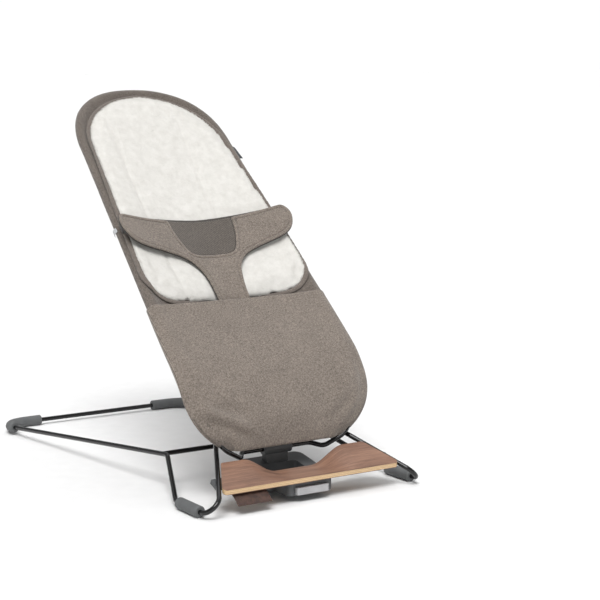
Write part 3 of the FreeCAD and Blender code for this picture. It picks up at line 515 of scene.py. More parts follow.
def bands(tree, coords, direction, pitch, wobble=0.0):
    """Even bands across one direction, with that pitch in metres."""
    inputs = {"Vector": coords, "Scale": WAVE_PERIOD / pitch, "Distortion": wobble,
              "Detail": 1.0, "Detail Scale": 2.0}
    return make(tree, "ShaderNodeTexWave", inputs, bands_direction=direction).outputs["Fac"]


def start_material(name, on_cloth, **sockets):
    """A material with its shader's even values set; returns it with its tree, shader and coordinates."""
    material = bpy.data.materials.new(name)
    material.use_nodes = True
    tree = material.node_tree
    shader = tree.nodes["Principled BSDF"]
    for key, value in sockets.items():
        shader.inputs[key.replace("_", " ")].default_value = value
    if on_cloth:
        coords = make(tree, "ShaderNodeAttribute", attribute_name="cloth").outputs["Vector"]
    else:
        coords = make(tree, "ShaderNodeTexCoord").outputs["Object"]
    return material, tree, shader, coords


def finish_material(tree, shader, colour, height, strength, distance, roughness=None):
    """Connects colour, bump and roughness."""
    tree.links.new(colour, shader.inputs["Base Color"])
    bump = make(tree, "ShaderNodeBump", {"Height": height, "Strength": strength, "Distance": distance})
    tree.links.new(bump.outputs[0], shader.inputs["Normal"])
    if roughness is not None:
        tree.links.new(roughness, shader.inputs["Roughness"])


def between(tree, value, low, high):
    """A 0 to 1 value spread over a range."""
    return make(tree, "ShaderNodeMapRange", {"Value": value, "To Min": low, "To Max": high}).outputs[0]


TWILL_TURN = (0, 0, math.radians(52))


def fabric(name, dark, light, pitch=1.1 * MM, twill=False, depth=0.35, streak=0.6):
    """Woven or knitted cloth: crossing yarns, streaks of lighter fibre and broad unevenness."""
    material, tree, shader, coords = start_material(name, True, Sheen_Weight=0.25, Sheen_Roughness=0.5)
    lay, share, ratio, wobble = coords, 0.5, 0.85, 0.8
    if twill:
        lay = make(tree, "ShaderNodeMapping", {"Vector": coords, "Rotation": TWILL_TURN}).outputs[0]
        share, ratio, wobble = 0.75, 0.6, 0.4
    yarn = bands(tree, lay, "X", pitch, wobble)
    cross = bands(tree, lay, "Y", pitch * ratio, wobble)
    weave = weighted(tree, (yarn, share), (cross, 1 - share))
    heather = noise_of(tree, coords, 400, 2.0, 0.62)
    cloud = noise_of(tree, coords, 24, 2.0)
    tone = weighted(tree, (heather, streak), (weave, 0.5), (cloud, 0.1))
    low = 0.5 * streak + 0.12
    colour = ramp(tree, tone, (low + 0.08, dark), (low + 0.36, light))
    height = weighted(tree, (weave, 1), (heather, 0.6))
    rough = between(tree, heather, 0.78, 0.96)
    finish_material(tree, shader, colour, height, depth, 0.4 * MM, rough)
    return material


def plush_material():
    """Short white pile, faintly mottled."""
    sheen = {"Sheen_Weight": 0.35, "Sheen_Roughness": 0.4}
    material, tree, shader, coords = start_material("plush_pile", True, **sheen)
    mottle = noise_of(tree, coords, 70, 4.0, 0.62)
    fibre = noise_of(tree, coords, 900, 2.0, 0.7)
    tone = weighted(tree, (mottle, 0.75), (fibre, 0.25))
    colour = ramp(tree, tone, (0.3, (0.565, 0.55, 0.516)), (0.66, (0.68, 0.665, 0.632)))
    height = weighted(tree, (mottle, 1.6), (fibre, 1))
    finish_material(tree, shader, colour, height, 0.4, 0.7 * MM, between(tree, fibre, 0.85, 1.0))
    return material


def plastic(name, dark, light, rough, grain=1800, strength=0.12, metallic=0.0):
    """Moulded plastic, rubber or plated steel: a fine grain and slight unevenness of gloss."""
    material, tree, shader, coords = start_material(name, False, Metallic=metallic)
    fine = noise_of(tree, coords, grain, 2.0, 0.6)
    cloud = noise_of(tree, coords, 40, 3.0)
    colour = ramp(tree, weighted(tree, (cloud, 0.7), (fine, 0.3)), (0.3, dark), (0.7, light))
    gloss = between(tree, cloud, rough - 0.07, rough + 0.09)
    finish_material(tree, shader, colour, fine, strength, 0.2 * MM, gloss)
    return material


def lacquer(name, colour_low, colour_high, rough):
    """Glossy lacquer on bent wire: faint orange peel and an uneven gloss."""
    material, tree, shader, coords = start_material(name, False, Specular_IOR_Level=0.5)
    cloud = noise_of(tree, coords, 55, 4.0, 0.6)
    peel = noise_of(tree, coords, 700, 1.0)
    colour = ramp(tree, cloud, (0.4, colour_low), (0.75, colour_high))
    gloss = between(tree, cloud, rough - 0.06, rough + 0.12)
    finish_material(tree, shader, colour, peel, 0.05, 0.15 * MM, gloss)
    return material


def leather(name, dark, light):
    """Grained leather: pebbles with fine creases between them."""
    material, tree, shader, coords = start_material(name, False)
    inputs = {"Vector": coords, "Scale": 900.0}
    pebble = make(tree, "ShaderNodeTexVoronoi", inputs, feature="DISTANCE_TO_EDGE").outputs["Distance"]
    crease = ramp(tree, pebble, (0.0, 0.0), (0.16, 1.0))
    cloud = noise_of(tree, coords, 120, 3.0)
    tone = maths(tree, "MULTIPLY", cloud, between(tree, crease, 0.8, 1.0))
    colour = ramp(tree, tone, (0.3, dark), (0.65, light))
    finish_material(tree, shader, colour, crease, 0.5, 0.3 * MM, between(tree, cloud, 0.42, 0.62))
    return material


# The thickness of a ply, and the depths at which the upper veneer ends and the lower one starts.
PLY = 1.32 * MM
VENEER = 0.7 * MM
PLATE_BACK = 7.3 * MM


def plywood():
    """Walnut veneer on light birch plies; depth is the distance under the top face, in metres."""
    coat = {"Coat_Weight": 0.15, "Coat_Roughness": 0.3}
    material, tree, shader, coords = start_material("walnut_plywood", False, **coat)
    broad = noise_of(tree, stretched(tree, coords, (1.0, 14.0, 1.2)), 7, 4.0, 0.55)
    fine = noise_of(tree, stretched(tree, coords, (1.0, 30.0, 2.0)), 22, 3.0, 0.6)
    pores = noise_of(tree, stretched(tree, coords, (1.0, 26.0, 4.0)), 120, 2.0, 0.7)
    figure = weighted(tree, (broad, 0.45), (fine, 0.35), (pores, 0.2))
    walnut = ramp(tree, figure, (0.38, (0.12, 0.058, 0.036)), (0.5, (0.225, 0.117, 0.075)),
                  (0.63, (0.325, 0.182, 0.118)))
    depth = make(tree, "ShaderNodeAttribute", attribute_name="depth").outputs["Fac"]
    layer = maths(tree, "MULTIPLY", depth, 1 / PLY)
    step = maths(tree, "FRACT", layer)
    glue = maths(tree, "LESS_THAN", step, 0.12)
    odd = maths(tree, "GREATER_THAN", maths(tree, "FRACT", maths(tree, "MULTIPLY", layer, 0.5)), 0.5)
    fibre = noise_of(tree, stretched(tree, coords, (0.25, 0.25, 6.0)), 300, 3.0)
    birch = ramp(tree, fibre, (0.3, (0.60, 0.41, 0.22)), (0.7, (0.72, 0.53, 0.32)))
    end_grain = ramp(tree, fibre, (0.3, (0.50, 0.325, 0.165)), (0.7, (0.62, 0.43, 0.24)))
    plies = blend_colour(tree, odd, birch, end_grain)
    plies = blend_colour(tree, glue, plies, (0.36, 0.22, 0.115))
    on_top = maths(tree, "LESS_THAN", depth, VENEER)
    below = maths(tree, "GREATER_THAN", depth, PLATE_BACK)
    colour = blend_colour(tree, maths(tree, "MAXIMUM", on_top, below), plies, walnut)
    finish_material(tree, shader, colour, figure, 0.12, 0.3 * MM, between(tree, pores, 0.38, 0.55))
    return material


looks = {
    "melange_fabric": fabric("melange_knit", (0.07, 0.056, 0.045), (0.335, 0.282, 0.238)),
    # A darker copy of the melange knit: painted shade for the shadow along the cover's sideways-facing
    # border and its grooves. The cover is the same fabric as the panel.
    "melange_painted_shade": fabric("melange_knit_painted_shade", (0.054, 0.043, 0.0355), (0.22, 0.186, 0.158)),
    "plush": plush_material(),
    "binding_fabric": fabric("binding_tape", (0.085, 0.069, 0.058), (0.225, 0.19, 0.164), pitch=0.9 * MM),
    "mesh_fabric": fabric("mesh_twill", (0.042, 0.035, 0.029), (0.155, 0.132, 0.113), pitch=2.1 * MM,
                          twill=True, depth=0.5),
    "backing_fabric": fabric("backing_weave", (0.03, 0.026, 0.022), (0.09, 0.078, 0.068)),
    "grey_ribbon": fabric("ribbon_weave", (0.36, 0.37, 0.38), (0.66, 0.67, 0.68), pitch=0.8 * MM,
                          streak=0.3),
    "dark_tag": fabric("tag_weave", (0.012, 0.014, 0.017), (0.06, 0.066, 0.072), pitch=0.6 * MM),
    "thread": fabric("sewing_thread", (0.16, 0.13, 0.11), (0.42, 0.37, 0.32), pitch=0.5 * MM),
    "black_wire": lacquer("black_lacquer", (0.002, 0.002, 0.0023), (0.006, 0.006, 0.0068), 0.11),
    "tube_steel": lacquer("grey_lacquer", (0.05, 0.05, 0.055), (0.08, 0.08, 0.085), 0.4),
    "foot_rubber": plastic("foot_rubber", (0.085, 0.089, 0.09), (0.13, 0.135, 0.137), 0.66, 1100, 0.3),
    "dark_plastic": plastic("housing_plastic", (0.054, 0.056, 0.058), (0.088, 0.092, 0.095), 0.45),
    "grey_plastic": plastic("handle_plastic", (0.31, 0.31, 0.315), (0.42, 0.42, 0.425), 0.42),
    "clip_plastic": plastic("clip_plastic", (0.085, 0.115, 0.118), (0.135, 0.17, 0.173), 0.45),
    "zinc_steel": plastic("zinc_plate", (0.48, 0.49, 0.5), (0.62, 0.63, 0.65), 0.34, 900, 0.1, 1.0),
    "dark_leather": leather("brown_leather", (0.032, 0.015, 0.011), (0.085, 0.043, 0.031)),
    "walnut_ply": plywood(),
}

# CAD nodes whose shape is right keep it and get their finish.
for part in frame["record"]["subparts"]:
    node = frame["nodes"][part["node"]]
    node.data.materials.clear()
    node.data.materials.append(looks[part["material_slot"]])

# ---------------------------------------------------------------- the sling: cover and front panel

def sag(x, u):
    """How far the cloth gives between its side tubes."""
    along = 22 * smooth(40, 250, u) - 8 * smooth(300, 480, u) - 14 * smooth(480, 700, u)
    return along * np.clip(1 - (x / np.maximum(half_width(u) - 22, 1)) ** 2, 0, 1)


def over_edge(gap, bulge, rest, inset):
    """Height of cloth drawn over the edge tube: round over the tube, then down to its rest height."""
    round_part = bulge * np.sqrt(np.clip(1 - ((inset - gap) / inset) ** 2, 0, 1))
    beyond = rest + (bulge - rest) * np.exp(-(np.maximum(gap - inset, 0) / 7.5) ** 2)
    return np.where(gap < inset, round_part, beyond)


def cover_face(x, u, way):
    """One face of the cover: way is 1 in front and -1 behind."""
    bulge = 2.4 + (EDGE_BULGE - 2.4) * smooth(55, 125, u)
    rest = 1.5 + 1.5 * smooth(20, 90, u)
    height = over_edge(np.maximum(side_gap(x, u), 0), bulge, rest, tube_inset(u))
    return way * height - sag(x, u) + 3.4 * (1 - smooth(20, 75, u)) + 0.35 * ripple(x, u, 70, 3 + way)


def cover_front(x, u):
    """The cover's face towards the infant."""
    return cover_face(x, u, 1)


def cover_back(x, u):
    """The cover's reverse."""
    return cover_face(x, u, -1)


EDGE_STEP = 3.6
HEM_RIM = ((0, 0), (0.5, 0.6), (1.3, 0.9), (2.6, 1.0), (4.4, 1.0), (6.6, 1.0), (9.0, 1.0), (12.0, 1.0),
           (16.0, 1.0), (21.0, 1.0))
places = end_dense(HEM, TOP, 260)
cover_loop = symmetric_loop(places, half_width(places) - 0.6, EDGE_STEP)
cover_shell = soft_shell([cover_loop], HEM_RIM, cover_front, cover_back, 8.0)
# The cover takes the darker copy of the melange knit, which is painted shade rather than a fabric of its
# own.
cover = cloth_piece("cover", cover_shell, "melange_fabric", "melange_painted_shade")
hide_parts("seat_cover")

PANEL_OUT = 1.0
PANEL_TOP = WAIST
HEM_STITCH = PANEL_TOP - 11.5

# Each drag line: its ends (x, u, x, u), its width and its height; a negative one is a hollow.
FOLDS = ((-168, 46, -68, 2, 8.5, 6.0), (-150, 26, -66, -12, 7.5, -4.6), (-132, 44, -60, 26, 8.0, -3.0),
         (150, 70, 70, 2, 12.0, 3.6), (150, 36, 92, -22, 6.0, 1.8), (130, 30, 60, -8, 8.0, -2.6),
         (-60, 22, 66, 16, 16.0, 1.4))


def folds(x, u):
    """Drag lines where the cloth pulls towards the hinge."""
    total = np.zeros(np.shape(x))
    for x1, u1, x2, u2, width, height in FOLDS:
        way = np.array([x2 - x1, u2 - u1], float)
        length = np.linalg.norm(way)
        way /= length
        along = ((x - x1) * way[0] + (u - u1) * way[1]) / length
        across = (x - x1) * -way[1] + (u - u1) * way[0]
        fade = smooth(-0.15, 0.25, along) * (1 - smooth(0.7, 1.15, along))
        total = total + height * fade * np.exp(-(across / width) ** 2)
    return total


def panel_gap(x, u):
    """Distance in from the panel's own edge, which stands past the seat's."""
    gap = side_gap(x, u)
    return np.where(np.abs(x) > half_width(u), -gap, gap) + PANEL_OUT


def panel_front(x, u):
    """The panel's face: over the edge tubes, taut between them, with its drag lines and hem."""
    gap = panel_gap(x, u)
    bulge = 6.6 + 3.6 * smooth(55, 125, u)
    rest = 11.5 - 2.0 * smooth(120, 215, u)
    height = over_edge(np.maximum(gap, 0), bulge, rest, tube_inset(u) + PANEL_OUT)
    hem = 0.5 * smooth(PANEL_TOP - 14.5, PANEL_TOP - 13, u)
    stitch = -0.6 * np.exp(-((u - HEM_STITCH) / 1.2) ** 2)
    inner = smooth(4, 22, gap)
    low_edge = 1 - smooth(HEM, HEM + 22, u)
    taut = np.minimum(sag(x, u), 5.0 * np.clip(1 - (x / half_width(np.maximum(u, HEM))) ** 2, 0, 1))
    relief = inner * (folds(x, u) + 0.7 * ripple(x, u, 85, 21))
    return height + relief - taut + hem + stitch - 2.0 * low_edge


def panel_back(x, u):
    """The panel lies on the cover and is drawn round the edge tubes."""
    gap = panel_gap(x, u)
    resting = panel_front(x, u) - 2.6
    tucked = -(3.0 + 6.4 * smooth(55, 125, u)) * np.sqrt(np.clip(gap / 5, 0, 1))
    share = smooth(2.5, 7.5, gap)
    return tucked * (1 - share) + resting * share


panel_places = end_dense(HEM - 1.5, PANEL_TOP, 150)
panel_half = half_width(np.maximum(panel_places, HEM)) + PANEL_OUT
panel_loop = symmetric_loop(panel_places, panel_half, 3.0, corner=1)
panel_shell = soft_shell([panel_loop], HEM_RIM[:6], panel_front, panel_back, 5.5)
panel = cloth_piece("front_panel_cloth", panel_shell, "melange_fabric")
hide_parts("front_panel")

# ---------------------------------------------------------------- insert: plush pad and its binding

# The pad's lower and upper ends and corner radius, the tape's width and how far it sinks, the pad's
# height off the cover and how far in from the tape's outer edge the plush starts.
PAD_LOW = 249.0
PAD_HIGH = 727.0
PAD_CORNER = 58.0
BINDING = 8.6
TAPE_DROP = 0.3
PAD_LIFT = 0.8
PLUSH_IN = 4.6


def pad_loop(inset, step):
    """The insert's outline, some way in from its edge."""
    y = end_dense(PAD_LOW + inset, PAD_HIGH - inset, 160)
    share = (y - PAD_LOW - inset) / (PAD_HIGH - PAD_LOW - 2 * inset)
    margin = 4.5 + 12.5 * share ** 2
    width = np.maximum(0, half_width(PAD_LOW + share * (TOP - PAD_LOW)) - margin - inset)
    corner = PAD_CORNER - inset
    rise = np.minimum(y - PAD_LOW - inset, corner)
    width = width - (corner - np.sqrt(np.maximum(0, corner ** 2 - (corner - rise) ** 2)))
    return symmetric_loop(y, width, step, corner=2)


def pad_base(x, u):
    """The pad's underside."""
    return cover_front(x, u) + PAD_LIFT


def pad_top(x, u):
    """The pad's face before it is puffed: thicker in the middle, thinner at its bottom edge."""
    crown = np.clip(1 - (x / np.maximum(half_width(u), 1)) ** 2, 0, 1)
    thick = (9.0 + 2.5 * crown) * (0.6 + 0.4 * smooth(250, 300, u))
    return pad_base(x, u) + thick


PAD_RIM = ((0, 0), (0.8, 0.45), (2.0, 0.68), (4.0, 0.87), (7.0, 0.97), (11.0, 1.0))
PAD_VOXEL = 5 * MM
PAD_PUFF = 3.0
PUFF_FRAMES = 20


def apply_modifiers(obj):
    """Replaces the object's mesh by its evaluated mesh."""
    graph = bpy.context.evaluated_depsgraph_get()
    made = bpy.data.meshes.new_from_object(obj.evaluated_get(graph))
    obj.modifiers.clear()
    obj.data = made


def puff(obj):
    """Remeshes a pad and inflates its front as cloth under pressure, with its movement capped."""
    remesh = obj.modifiers.new("remesh", "REMESH")
    remesh.mode = "VOXEL"
    remesh.voxel_size = PAD_VOXEL
    remesh.use_smooth_shade = True
    apply_modifiers(obj)
    before = read_threes(obj.data.vertices, "co")
    cloth = obj.modifiers.new("cloth", "CLOTH")
    cloth.settings.use_pressure = True
    cloth.settings.uniform_pressure_force = 4.0
    cloth.settings.effector_weights.gravity = 0.0
    cloth.settings.quality = 4
    cloth.point_cache.frame_start = 1
    cloth.point_cache.frame_end = PUFF_FRAMES
    for step in range(1, PUFF_FRAMES + 1):
        bpy.context.scene.frame_set(step)
    apply_modifiers(obj)
    bpy.context.scene.frame_set(1)
    move = read_threes(obj.data.vertices, "co") - before
    size = np.linalg.norm(move, axis=1, keepdims=True)
    move *= np.minimum(1, PAD_PUFF * MM / np.maximum(size, 1e-9))
    x, u, n = to_cloth(before).T
    base = pad_base(x, u)
    upper = smooth(0.25, 0.8, (n - base) / np.maximum(pad_top(x, u) - base, 1))
    # The harness presses on the pad here, so the pad puffs less.
    pressed = smooth(290, 330, u) * (1 - smooth(425, 455, u))
    return before + move * (upper * (1 - 0.7 * pressed))[:, None]


CREASES = (-88.0, 50.0)
CREASE_DEPTH = 2.6
CREASE_WIDTH = 4.2
RIM_BAND = 4.5
TUFT_ROOT = 0.7 * MM
TUFT_LEAN = 0.36
TUFT_CORNERS = (0, 2.0944, 4.18879)

# Pile on the open face, then at the rim: how many tufts, their length and their girth in mm.
OPEN_PILE = (15000, 1.1, 0.8)
RIM_PILE = (5200, 2.3, 0.6)


def tufts(points, normals, places, length, girth):
    """Closed little cones of pile, each on a place with its own lean."""
    count = len(places)
    lean = unit(normals[places] + rng.normal(0, TUFT_LEAN, (count, 3)))
    helper = np.where(np.abs(lean[:, :1]) > 0.7, (0.0, 1.0, 0.0), (1.0, 0.0, 0.0))
    first = unit(np.cross(lean, helper))
    second = np.cross(lean, first)
    sizes = length * rng.uniform(0.6, 1.25, (count, 1))
    foot = points - lean * TUFT_ROOT
    cone = [foot + girth * (first * math.cos(t) + second * math.sin(t)) for t in TUFT_CORNERS]
    tip = foot + lean * (sizes + TUFT_ROOT)
    made = np.stack(cone + [tip], axis=1).reshape(-1, 3)
    base = np.arange(count) * 4
    faces = []
    for b in base:
        faces += [(b, b + 1, b + 3), (b + 1, b + 2, b + 3), (b + 2, b, b + 3), (b + 2, b + 1, b)]
    return made, faces


def plush_pad():
    """The plush: a puffed pad with two soft creases, covered with pile."""
    cloth, faces = soft_shell([pad_loop(PLUSH_IN, 5.0)], PAD_RIM, pad_top, pad_base, 9.0)
    pad = add_object("insert_plush", to_world(*cloth.T), faces, "seat", looks["plush"])
    cloth = to_cloth(puff(pad))
    x, u = cloth[:, 0], cloth[:, 1]
    upper = smooth(2.0, 6.0, cloth[:, 2] - pad_base(x, u))
    for crease in CREASES:
        line = crease + 5 * np.sin(u / 90 + crease)
        groove = upper * CREASE_DEPTH * np.exp(-((x - line) / CREASE_WIDTH) ** 2)
        cloth[:, 2] -= groove * smooth(262, 300, u) * (1 - smooth(640, 700, u))
    cloth[:, 2] += upper * 0.6 * ripple(x, u, 42, 5)
    places = to_world(*cloth.T)
    pad.data.vertices.foreach_set("co", places.ravel())
    pad.data.update()
    mesh = pad.data
    normals = read_threes(mesh.vertex_normals, "vector")
    mesh.calc_loop_triangles()
    corners = read_threes(mesh.loop_triangles, "vertices", int)
    areas = np.linalg.norm(np.cross(places[corners[:, 1]] - places[corners[:, 0]],
                                    places[corners[:, 2]] - places[corners[:, 0]]), axis=1) / 2
    centres = cloth[corners].mean(1)
    at_rim = nearest_gap(centres[:, :2], pad_loop(PLUSH_IN, 2.0)) < RIM_BAND
    shown = areas * (upper[corners].mean(1) > 0.15)
    all_points, all_faces = [places], [tuple(p.vertices) for p in mesh.polygons]
    offset = len(places)
    for part, (count, length, girth) in ((~at_rim, OPEN_PILE), (at_rim, RIM_PILE)):
        chances = shown * part
        chosen = rng.choice(len(corners), count, p=chances / chances.sum())
        weights = rng.dirichlet((1, 1, 1), count)
        spots = (places[corners[chosen]] * weights[:, :, None]).sum(1)
        pile, pile_faces = tufts(spots, normals, corners[chosen, 0], length * MM, girth * MM)
        all_points.append(pile)
        all_faces += [tuple(offset + i for i in face) for face in pile_faces]
        offset += len(pile)
    all_points = np.vstack(all_points)
    bpy.data.objects.remove(pad)
    done = add_object("insert_plush", all_points, all_faces, "seat", looks["plush"])
    keep_cloth_space(done)
    return done


plush = plush_pad()
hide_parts("insert_pad")


def tape_height(u):
    """How high the edge tape stands: lower along the pad's bottom edge."""
    return 3.4 + 3.0 * smooth(250, 285, u)


def binding_ring():
    """Tape rolled over the pad's edge, with small puckers from its stitches."""
    loop = pad_loop(BINDING / 2, 3.0)
    way = loop_normals(loop)
    section = 14
    points, faces = [], []
    lengths = run_of(loop)
    pucker = 1 + 0.05 * np.sin(lengths * 2 * math.pi / 9.1) + 0.04 * np.sin(lengths * 2 * math.pi / 23.7)
    count = len(loop)
    for k in range(section):
        turn = 2 * math.pi * k / section
        place = loop + way * (BINDING / 2 * math.cos(turn))
        height = tape_height(place[:, 1]) * pucker
        n = pad_base(*place.T) - TAPE_DROP + height * (0.5 + 0.5 * math.sin(turn))
        points.append(np.column_stack([place, n]))
    for k in range(section):
        j = (k + 1) % section
        for i in range(count):
            m = (i + 1) % count
            faces.append((k * count + i, j * count + i, j * count + m, k * count + m))
    return cloth_piece("insert_edge_tape", (np.vstack(points), faces), "binding_fabric")


tape = binding_ring()
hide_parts("insert_binding")
tape_seam = pad_loop(BINDING / 2 - 0.6, 3.0)
tape_seam = np.vstack([tape_seam, tape_seam[:1]])
seam_height = pad_base(*tape_seam.T) - TAPE_DROP + tape_height(tape_seam[:, 1]) * 0.94
stitch_row("insert_edge_stitches", *seat_line(*tape_seam.T, seam_height), "binding_fabric")

# ---------------------------------------------------------------- harness

HARNESS_TOP = 421.0
WING_HEIGHT = 32.0
WING_REACH = 164.0
STEM_END = 224.0
FLAP = 3.2

# Right half, as x and u: the side from the stem's end up to the arm's top, and the side of the mesh
# window from its top down.
SIDE_POINTS = ((29, STEM_END), (33, 285), (43, 318), (62, 337), (95, 348), (136, 357), (158, 370),
               (168, 392), (167, 410), (159, 422))
WINDOW_POINTS = ((62, 417.5), (60.5, 398), (57, 381), (50.5, 362), (43, 349), (31, 343.5))


def curve_through(points, step):
    """A smooth line through points, by Catmull-Rom."""
    points = np.asarray(points, float)
    padded = np.vstack([2 * points[0] - points[1], points, 2 * points[-1] - points[-2]])
    t = np.linspace(0, 1, 12, endpoint=False)[:, None]
    runs = []
    for a, b, c, d in zip(padded, padded[1:], padded[2:], padded[3:]):
        curl = (2 * a - 5 * b + 4 * c - d) * t ** 2 + (3 * b - a - 3 * c + d) * t ** 3
        runs.append(0.5 * (2 * b + (c - a) * t + curl))
    return resample(np.vstack(runs + [points[-1:]]), step, closed=False)


def top_edge(x):
    """The harness's upper edge, a little lower in the middle."""
    return HARNESS_TOP - 4.0 + 5.5 * (np.asarray(x) / 159.0) ** 2


side = curve_through(SIDE_POINTS, 2.6)
window_side = curve_through(WINDOW_POINTS, 2.6)
top_right = np.array([(x, top_edge(x)) for x in np.linspace(156, 65, 34)])
right_half = [side, top_right, window_side]
flap_loop = np.vstack(right_half + [mirrored(line) for line in reversed(right_half)])
flap_loop = soften(resample(flap_loop, 2.6), 3)
window_top = np.array([(x, top_edge(x)) for x in np.linspace(-61, 61, 46)])


def harness_base(x, u):
    """The underside of the flap: on the pad in the middle, standing off it at the arms' ends."""
    middle = pad_top(np.zeros(np.shape(u)), np.maximum(u, 262)) + 3.8 - 3.0 * (1 - smooth(236, 262, u))
    reach = np.clip(np.abs(x) / WING_REACH, 0, 1.1) ** 1.6
    return middle + (WING_HEIGHT - middle) * reach


def flap_front(x, u):
    """The flap's face."""
    return harness_base(x, u) + FLAP + 0.25 * ripple(x, u, 60, 9)


FLAP_RIM = ((0, 0), (0.35, 0.6), (1.0, 0.98), (2.2, 1.25), (3.6, 1.35), (5.0, 1.2), (6.0, 0.72), (6.6, 0.3),
            (7.3, 0.6), (8.4, 0.95), (10.0, 1.0))
flap_shell = soft_shell([flap_loop], FLAP_RIM, flap_front, harness_base, 5.0)
flap = cloth_piece("harness_flap", flap_shell, "melange_fabric")
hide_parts("harness_panel")

# Turned round to run anticlockwise, like every outline.
window_loop = np.vstack([window_side, mirrored(window_side), window_top])
window_loop = soften(resample(window_loop, 2.6), 1)[::-1]
window_loop = window_loop + loop_normals(window_loop) * 0.3
THIN_RIM = ((0, 0), (0.4, 0.7), (1.2, 1.0), (2.6, 1.0))


def mesh_front(x, u):
    """The mesh window's face, lower than the flap's."""
    return harness_base(x, u) + 1.5 + 0.3 * ripple(x, u, 38, 14)


mesh_shell = soft_shell([window_loop], THIN_RIM, mesh_front, harness_base, 5.0)
mesh_panel = cloth_piece("harness_mesh_panel", mesh_shell, "mesh_fabric")
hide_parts("harness_mesh")

backing_loop = np.vstack([side, mirrored(side)])
backing_loop = soften(resample(backing_loop, 3.0), 3)
backing_loop = backing_loop - loop_normals(backing_loop) * 0.6


def backing_front(x, u):
    """The lining's upper face, just under the flap."""
    return harness_base(x, u) - 0.3 - 0.6 * np.clip(np.abs(x) / WING_REACH, 0, 1) ** 2


def backing_back(x, u):
    """The lining's underside."""
    return backing_front(x, u) - 1.4


backing_shell = soft_shell([backing_loop], THIN_RIM, backing_front, backing_back, 6.5)
backing = cloth_piece("harness_lining", backing_shell, "backing_fabric")
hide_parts("harness_backing")

# The seam leaves out the stem's end.
STITCH_IN = 6.6
SEAM_LOW = 250
seam = flap_loop + loop_normals(flap_loop) * STITCH_IN
seam = seam[seam[:, 1] > SEAM_LOW]
stitch_row("harness_stitches", *seat_line(*seam.T, flap_front(*seam.T) - 0.85), "melange_fabric")

hem_x = np.linspace(-160, 160, 200)
hem_u = np.full(200, HEM_STITCH)
hem_line = seat_line(hem_x, hem_u, panel_front(hem_x, hem_u) - 0.1)
stitch_row("panel_hem_stitches", *hem_line, "melange_fabric")

# ---------------------------------------------------------------- straps, ribbons, tag and leather tab

CLIP_U = 404.0
RIBBON_U = 409.0
TAG_U = 582.0
clip_edge = float(half_width(CLIP_U))
up_seat = to_world(0, CLIP_U + 1, 0) - to_world(0, CLIP_U, 0)
turns = np.radians(np.linspace(-50, 38, 16))
for side_name, way in (("left", -1), ("right", 1)):
    ribbon_x = way * (clip_edge - 9 + 10.9 * np.cos(turns))
    ribbon_path = to_world(ribbon_x, np.full(16, RIBBON_U), 10.4 * np.sin(turns))
    ribbon = strap("ribbon_" + side_name, ribbon_path, up_seat, 9.0, 1.2, "seat", "grey_ribbon")
    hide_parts("ribbon_loop_" + side_name)
    strap_x = way * (clip_edge - np.array([7.6, 5.2, 4.6, 6.0, 11.0, 18.0]))
    strap_n = np.array([8.4, 12.0, 17.0, 22.5, 27.2, 29.0])
    strap_path = curve_through(to_world(strap_x, np.full(6, CLIP_U), strap_n), MM)
    strap_name = "clip_strap_cloth_" + side_name
    side_strap = strap(strap_name, strap_path, up_seat, 18.0, 1.4, "seat", "backing_fabric")
    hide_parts("clip_strap_" + side_name)

tag_edge = float(half_width(TAG_U))
tag_x = tag_edge + np.array([0.2, 2.4, 4.6, 6.8])
tag_path = to_world(tag_x, np.full(4, TAG_U), np.array([-0.2, 0.3, 0.4, 0.0]))
along_edge = to_world(tag_edge - 2.2, TAG_U + 12, 0) - to_world(tag_edge, TAG_U, 0)
tag = strap("woven_tag", tag_path, along_edge, 30.0, 1.7, "seat", "dark_tag")
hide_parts("side_tag")

tab_low, tab_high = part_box("leather_tab")
tab_x = (tab_low.x + tab_high.x) / 2
tab_y = tab_high.y + (tab_low.y - tab_high.y) * np.array([0.06, 0.3, 0.62, 0.84, 0.985])
tab_z = tab_high.z + (tab_low.z - tab_high.z) * np.array([0.05, 0.22, 0.54, 0.80, 0.97])
tab_path = curve_through(np.column_stack([np.full(5, tab_x), tab_y, tab_z]), 1.2 * MM)
tab = strap("leather_pull", tab_path, (1, 0, 0), (tab_high.x - tab_low.x) / MM, 1.8, "base", "dark_leather")
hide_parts("leather_tab")

# ---------------------------------------------------------------- footplate

def footplate():
    """The plate with its edges broken, and each point's depth under the top face for the plies."""
    source = frame["nodes"]["footplate"]
    plate = new_object("plywood_footplate", source.data.copy())
    weld = plate.modifiers.new("weld", "WELD")
    weld.merge_threshold = 0.01 * MM
    bevel = plate.modifiers.new("edges", "BEVEL")
    bevel.width = 0.7 * MM
    bevel.segments = 3
    bevel.angle_limit = math.radians(40)
    apply_modifiers(plate)
    places = [v.co for v in source.data.vertices]
    tops = [tuple(p.vertices) for p in source.data.polygons if p.normal.z > 0.5]
    top_face = BVHTree.FromPolygons(places, tops)
    depths = [top_face.find_nearest(v.co)[3] for v in plate.data.vertices]
    attribute = plate.data.attributes.new("depth", "FLOAT", "POINT")
    attribute.data.foreach_set("value", depths)
    plate.data.shade_smooth()
    plate.data.set_sharp_from_angle(angle=math.radians(32))
    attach(plate, "base")
    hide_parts("footplate")


footplate()

# ---------------------------------------------------------------- floor, light and camera

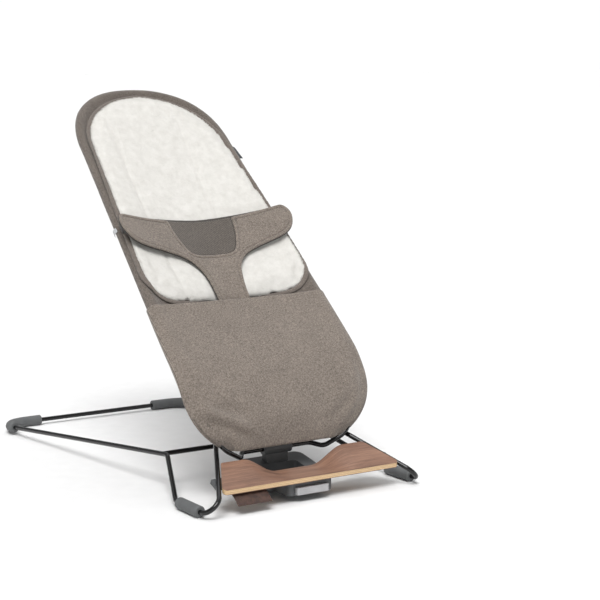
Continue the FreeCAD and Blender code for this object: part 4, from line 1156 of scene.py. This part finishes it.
FLOOR_HALF = 60.0
FLOOR_Z = -0.0004
floor_mesh = bpy.data.meshes.new("floor")
floor_corners = [(a * FLOOR_HALF, b * FLOOR_HALF, FLOOR_Z) for a, b in ((-1, -1), (1, -1), (1, 1), (-1, 1))]
floor_mesh.from_pydata(floor_corners, [], [(0, 1, 2, 3)])
floor = new_object("floor", floor_mesh)
pale, pale_tree, pale_shader, pale_coords = start_material("pale_floor", False, Roughness=0.7)
speck = noise_of(pale_tree, pale_coords, 30, 2.0)
pale_colour = ramp(pale_tree, speck, (0.3, 0.84), (0.7, 0.87))
finish_material(pale_tree, pale_shader, pale_colour, speck, 0.02, 0.1 * MM)
floor.data.materials.append(pale)

world = bpy.data.worlds.new("studio")
bpy.context.scene.world = world
world.use_nodes = True
sky = world.node_tree
direction = make(sky, "ShaderNodeTexCoord").outputs["Generated"]
height = make(sky, "ShaderNodeSeparateXYZ", {"Vector": direction}).outputs["Z"]
glow = ramp(sky, height, (0.0, 1.02), (0.08, 1.02), (0.22, 0.36), (0.6, 0.32), (1.0, 0.42))
sky.links.new(glow, sky.nodes["Background"].inputs["Color"])

AIM = Vector((0, 0, 0.25))

# Each lamp: kind, name, place, angle or size, and strength.
LAMPS = (("SUN", "key", (-1.6, -1.9, 4.2), math.radians(34), 2.75),
         ("SUN", "top", (0.9, 1.4, 4.5), math.radians(50), 0.55),
         ("AREA", "fill", (2.6, -1.2, 1.5), 2.2, 7.0))
for kind, name, place, size, power in LAMPS:
    light = bpy.data.lights.new(name, kind)
    if kind == "SUN":
        light.angle = size
    else:
        light.size = size
    light.energy = power
    lamp = new_object(name, light)
    lamp.location = place
    lamp.rotation_euler = (AIM - Vector(place)).to_track_quat("-Z", "Y").to_euler()
bpy.context.scene.view_settings.view_transform = "Standard"

CAMERA_PLACE = (-1.459645, -2.523692, 0.695122)
CAMERA_AZIMUTH = -33.68875
CAMERA_ELEVATION = 8.19202
camera_data = bpy.data.cameras.new("camera")
camera_data.sensor_width = 36.0
camera_data.lens = 101.113
camera = new_object("camera", camera_data)
camera.location = CAMERA_PLACE
camera.rotation_euler = (math.radians(90 - CAMERA_ELEVATION), 0, math.radians(CAMERA_AZIMUTH))
bpy.context.scene.camera = camera
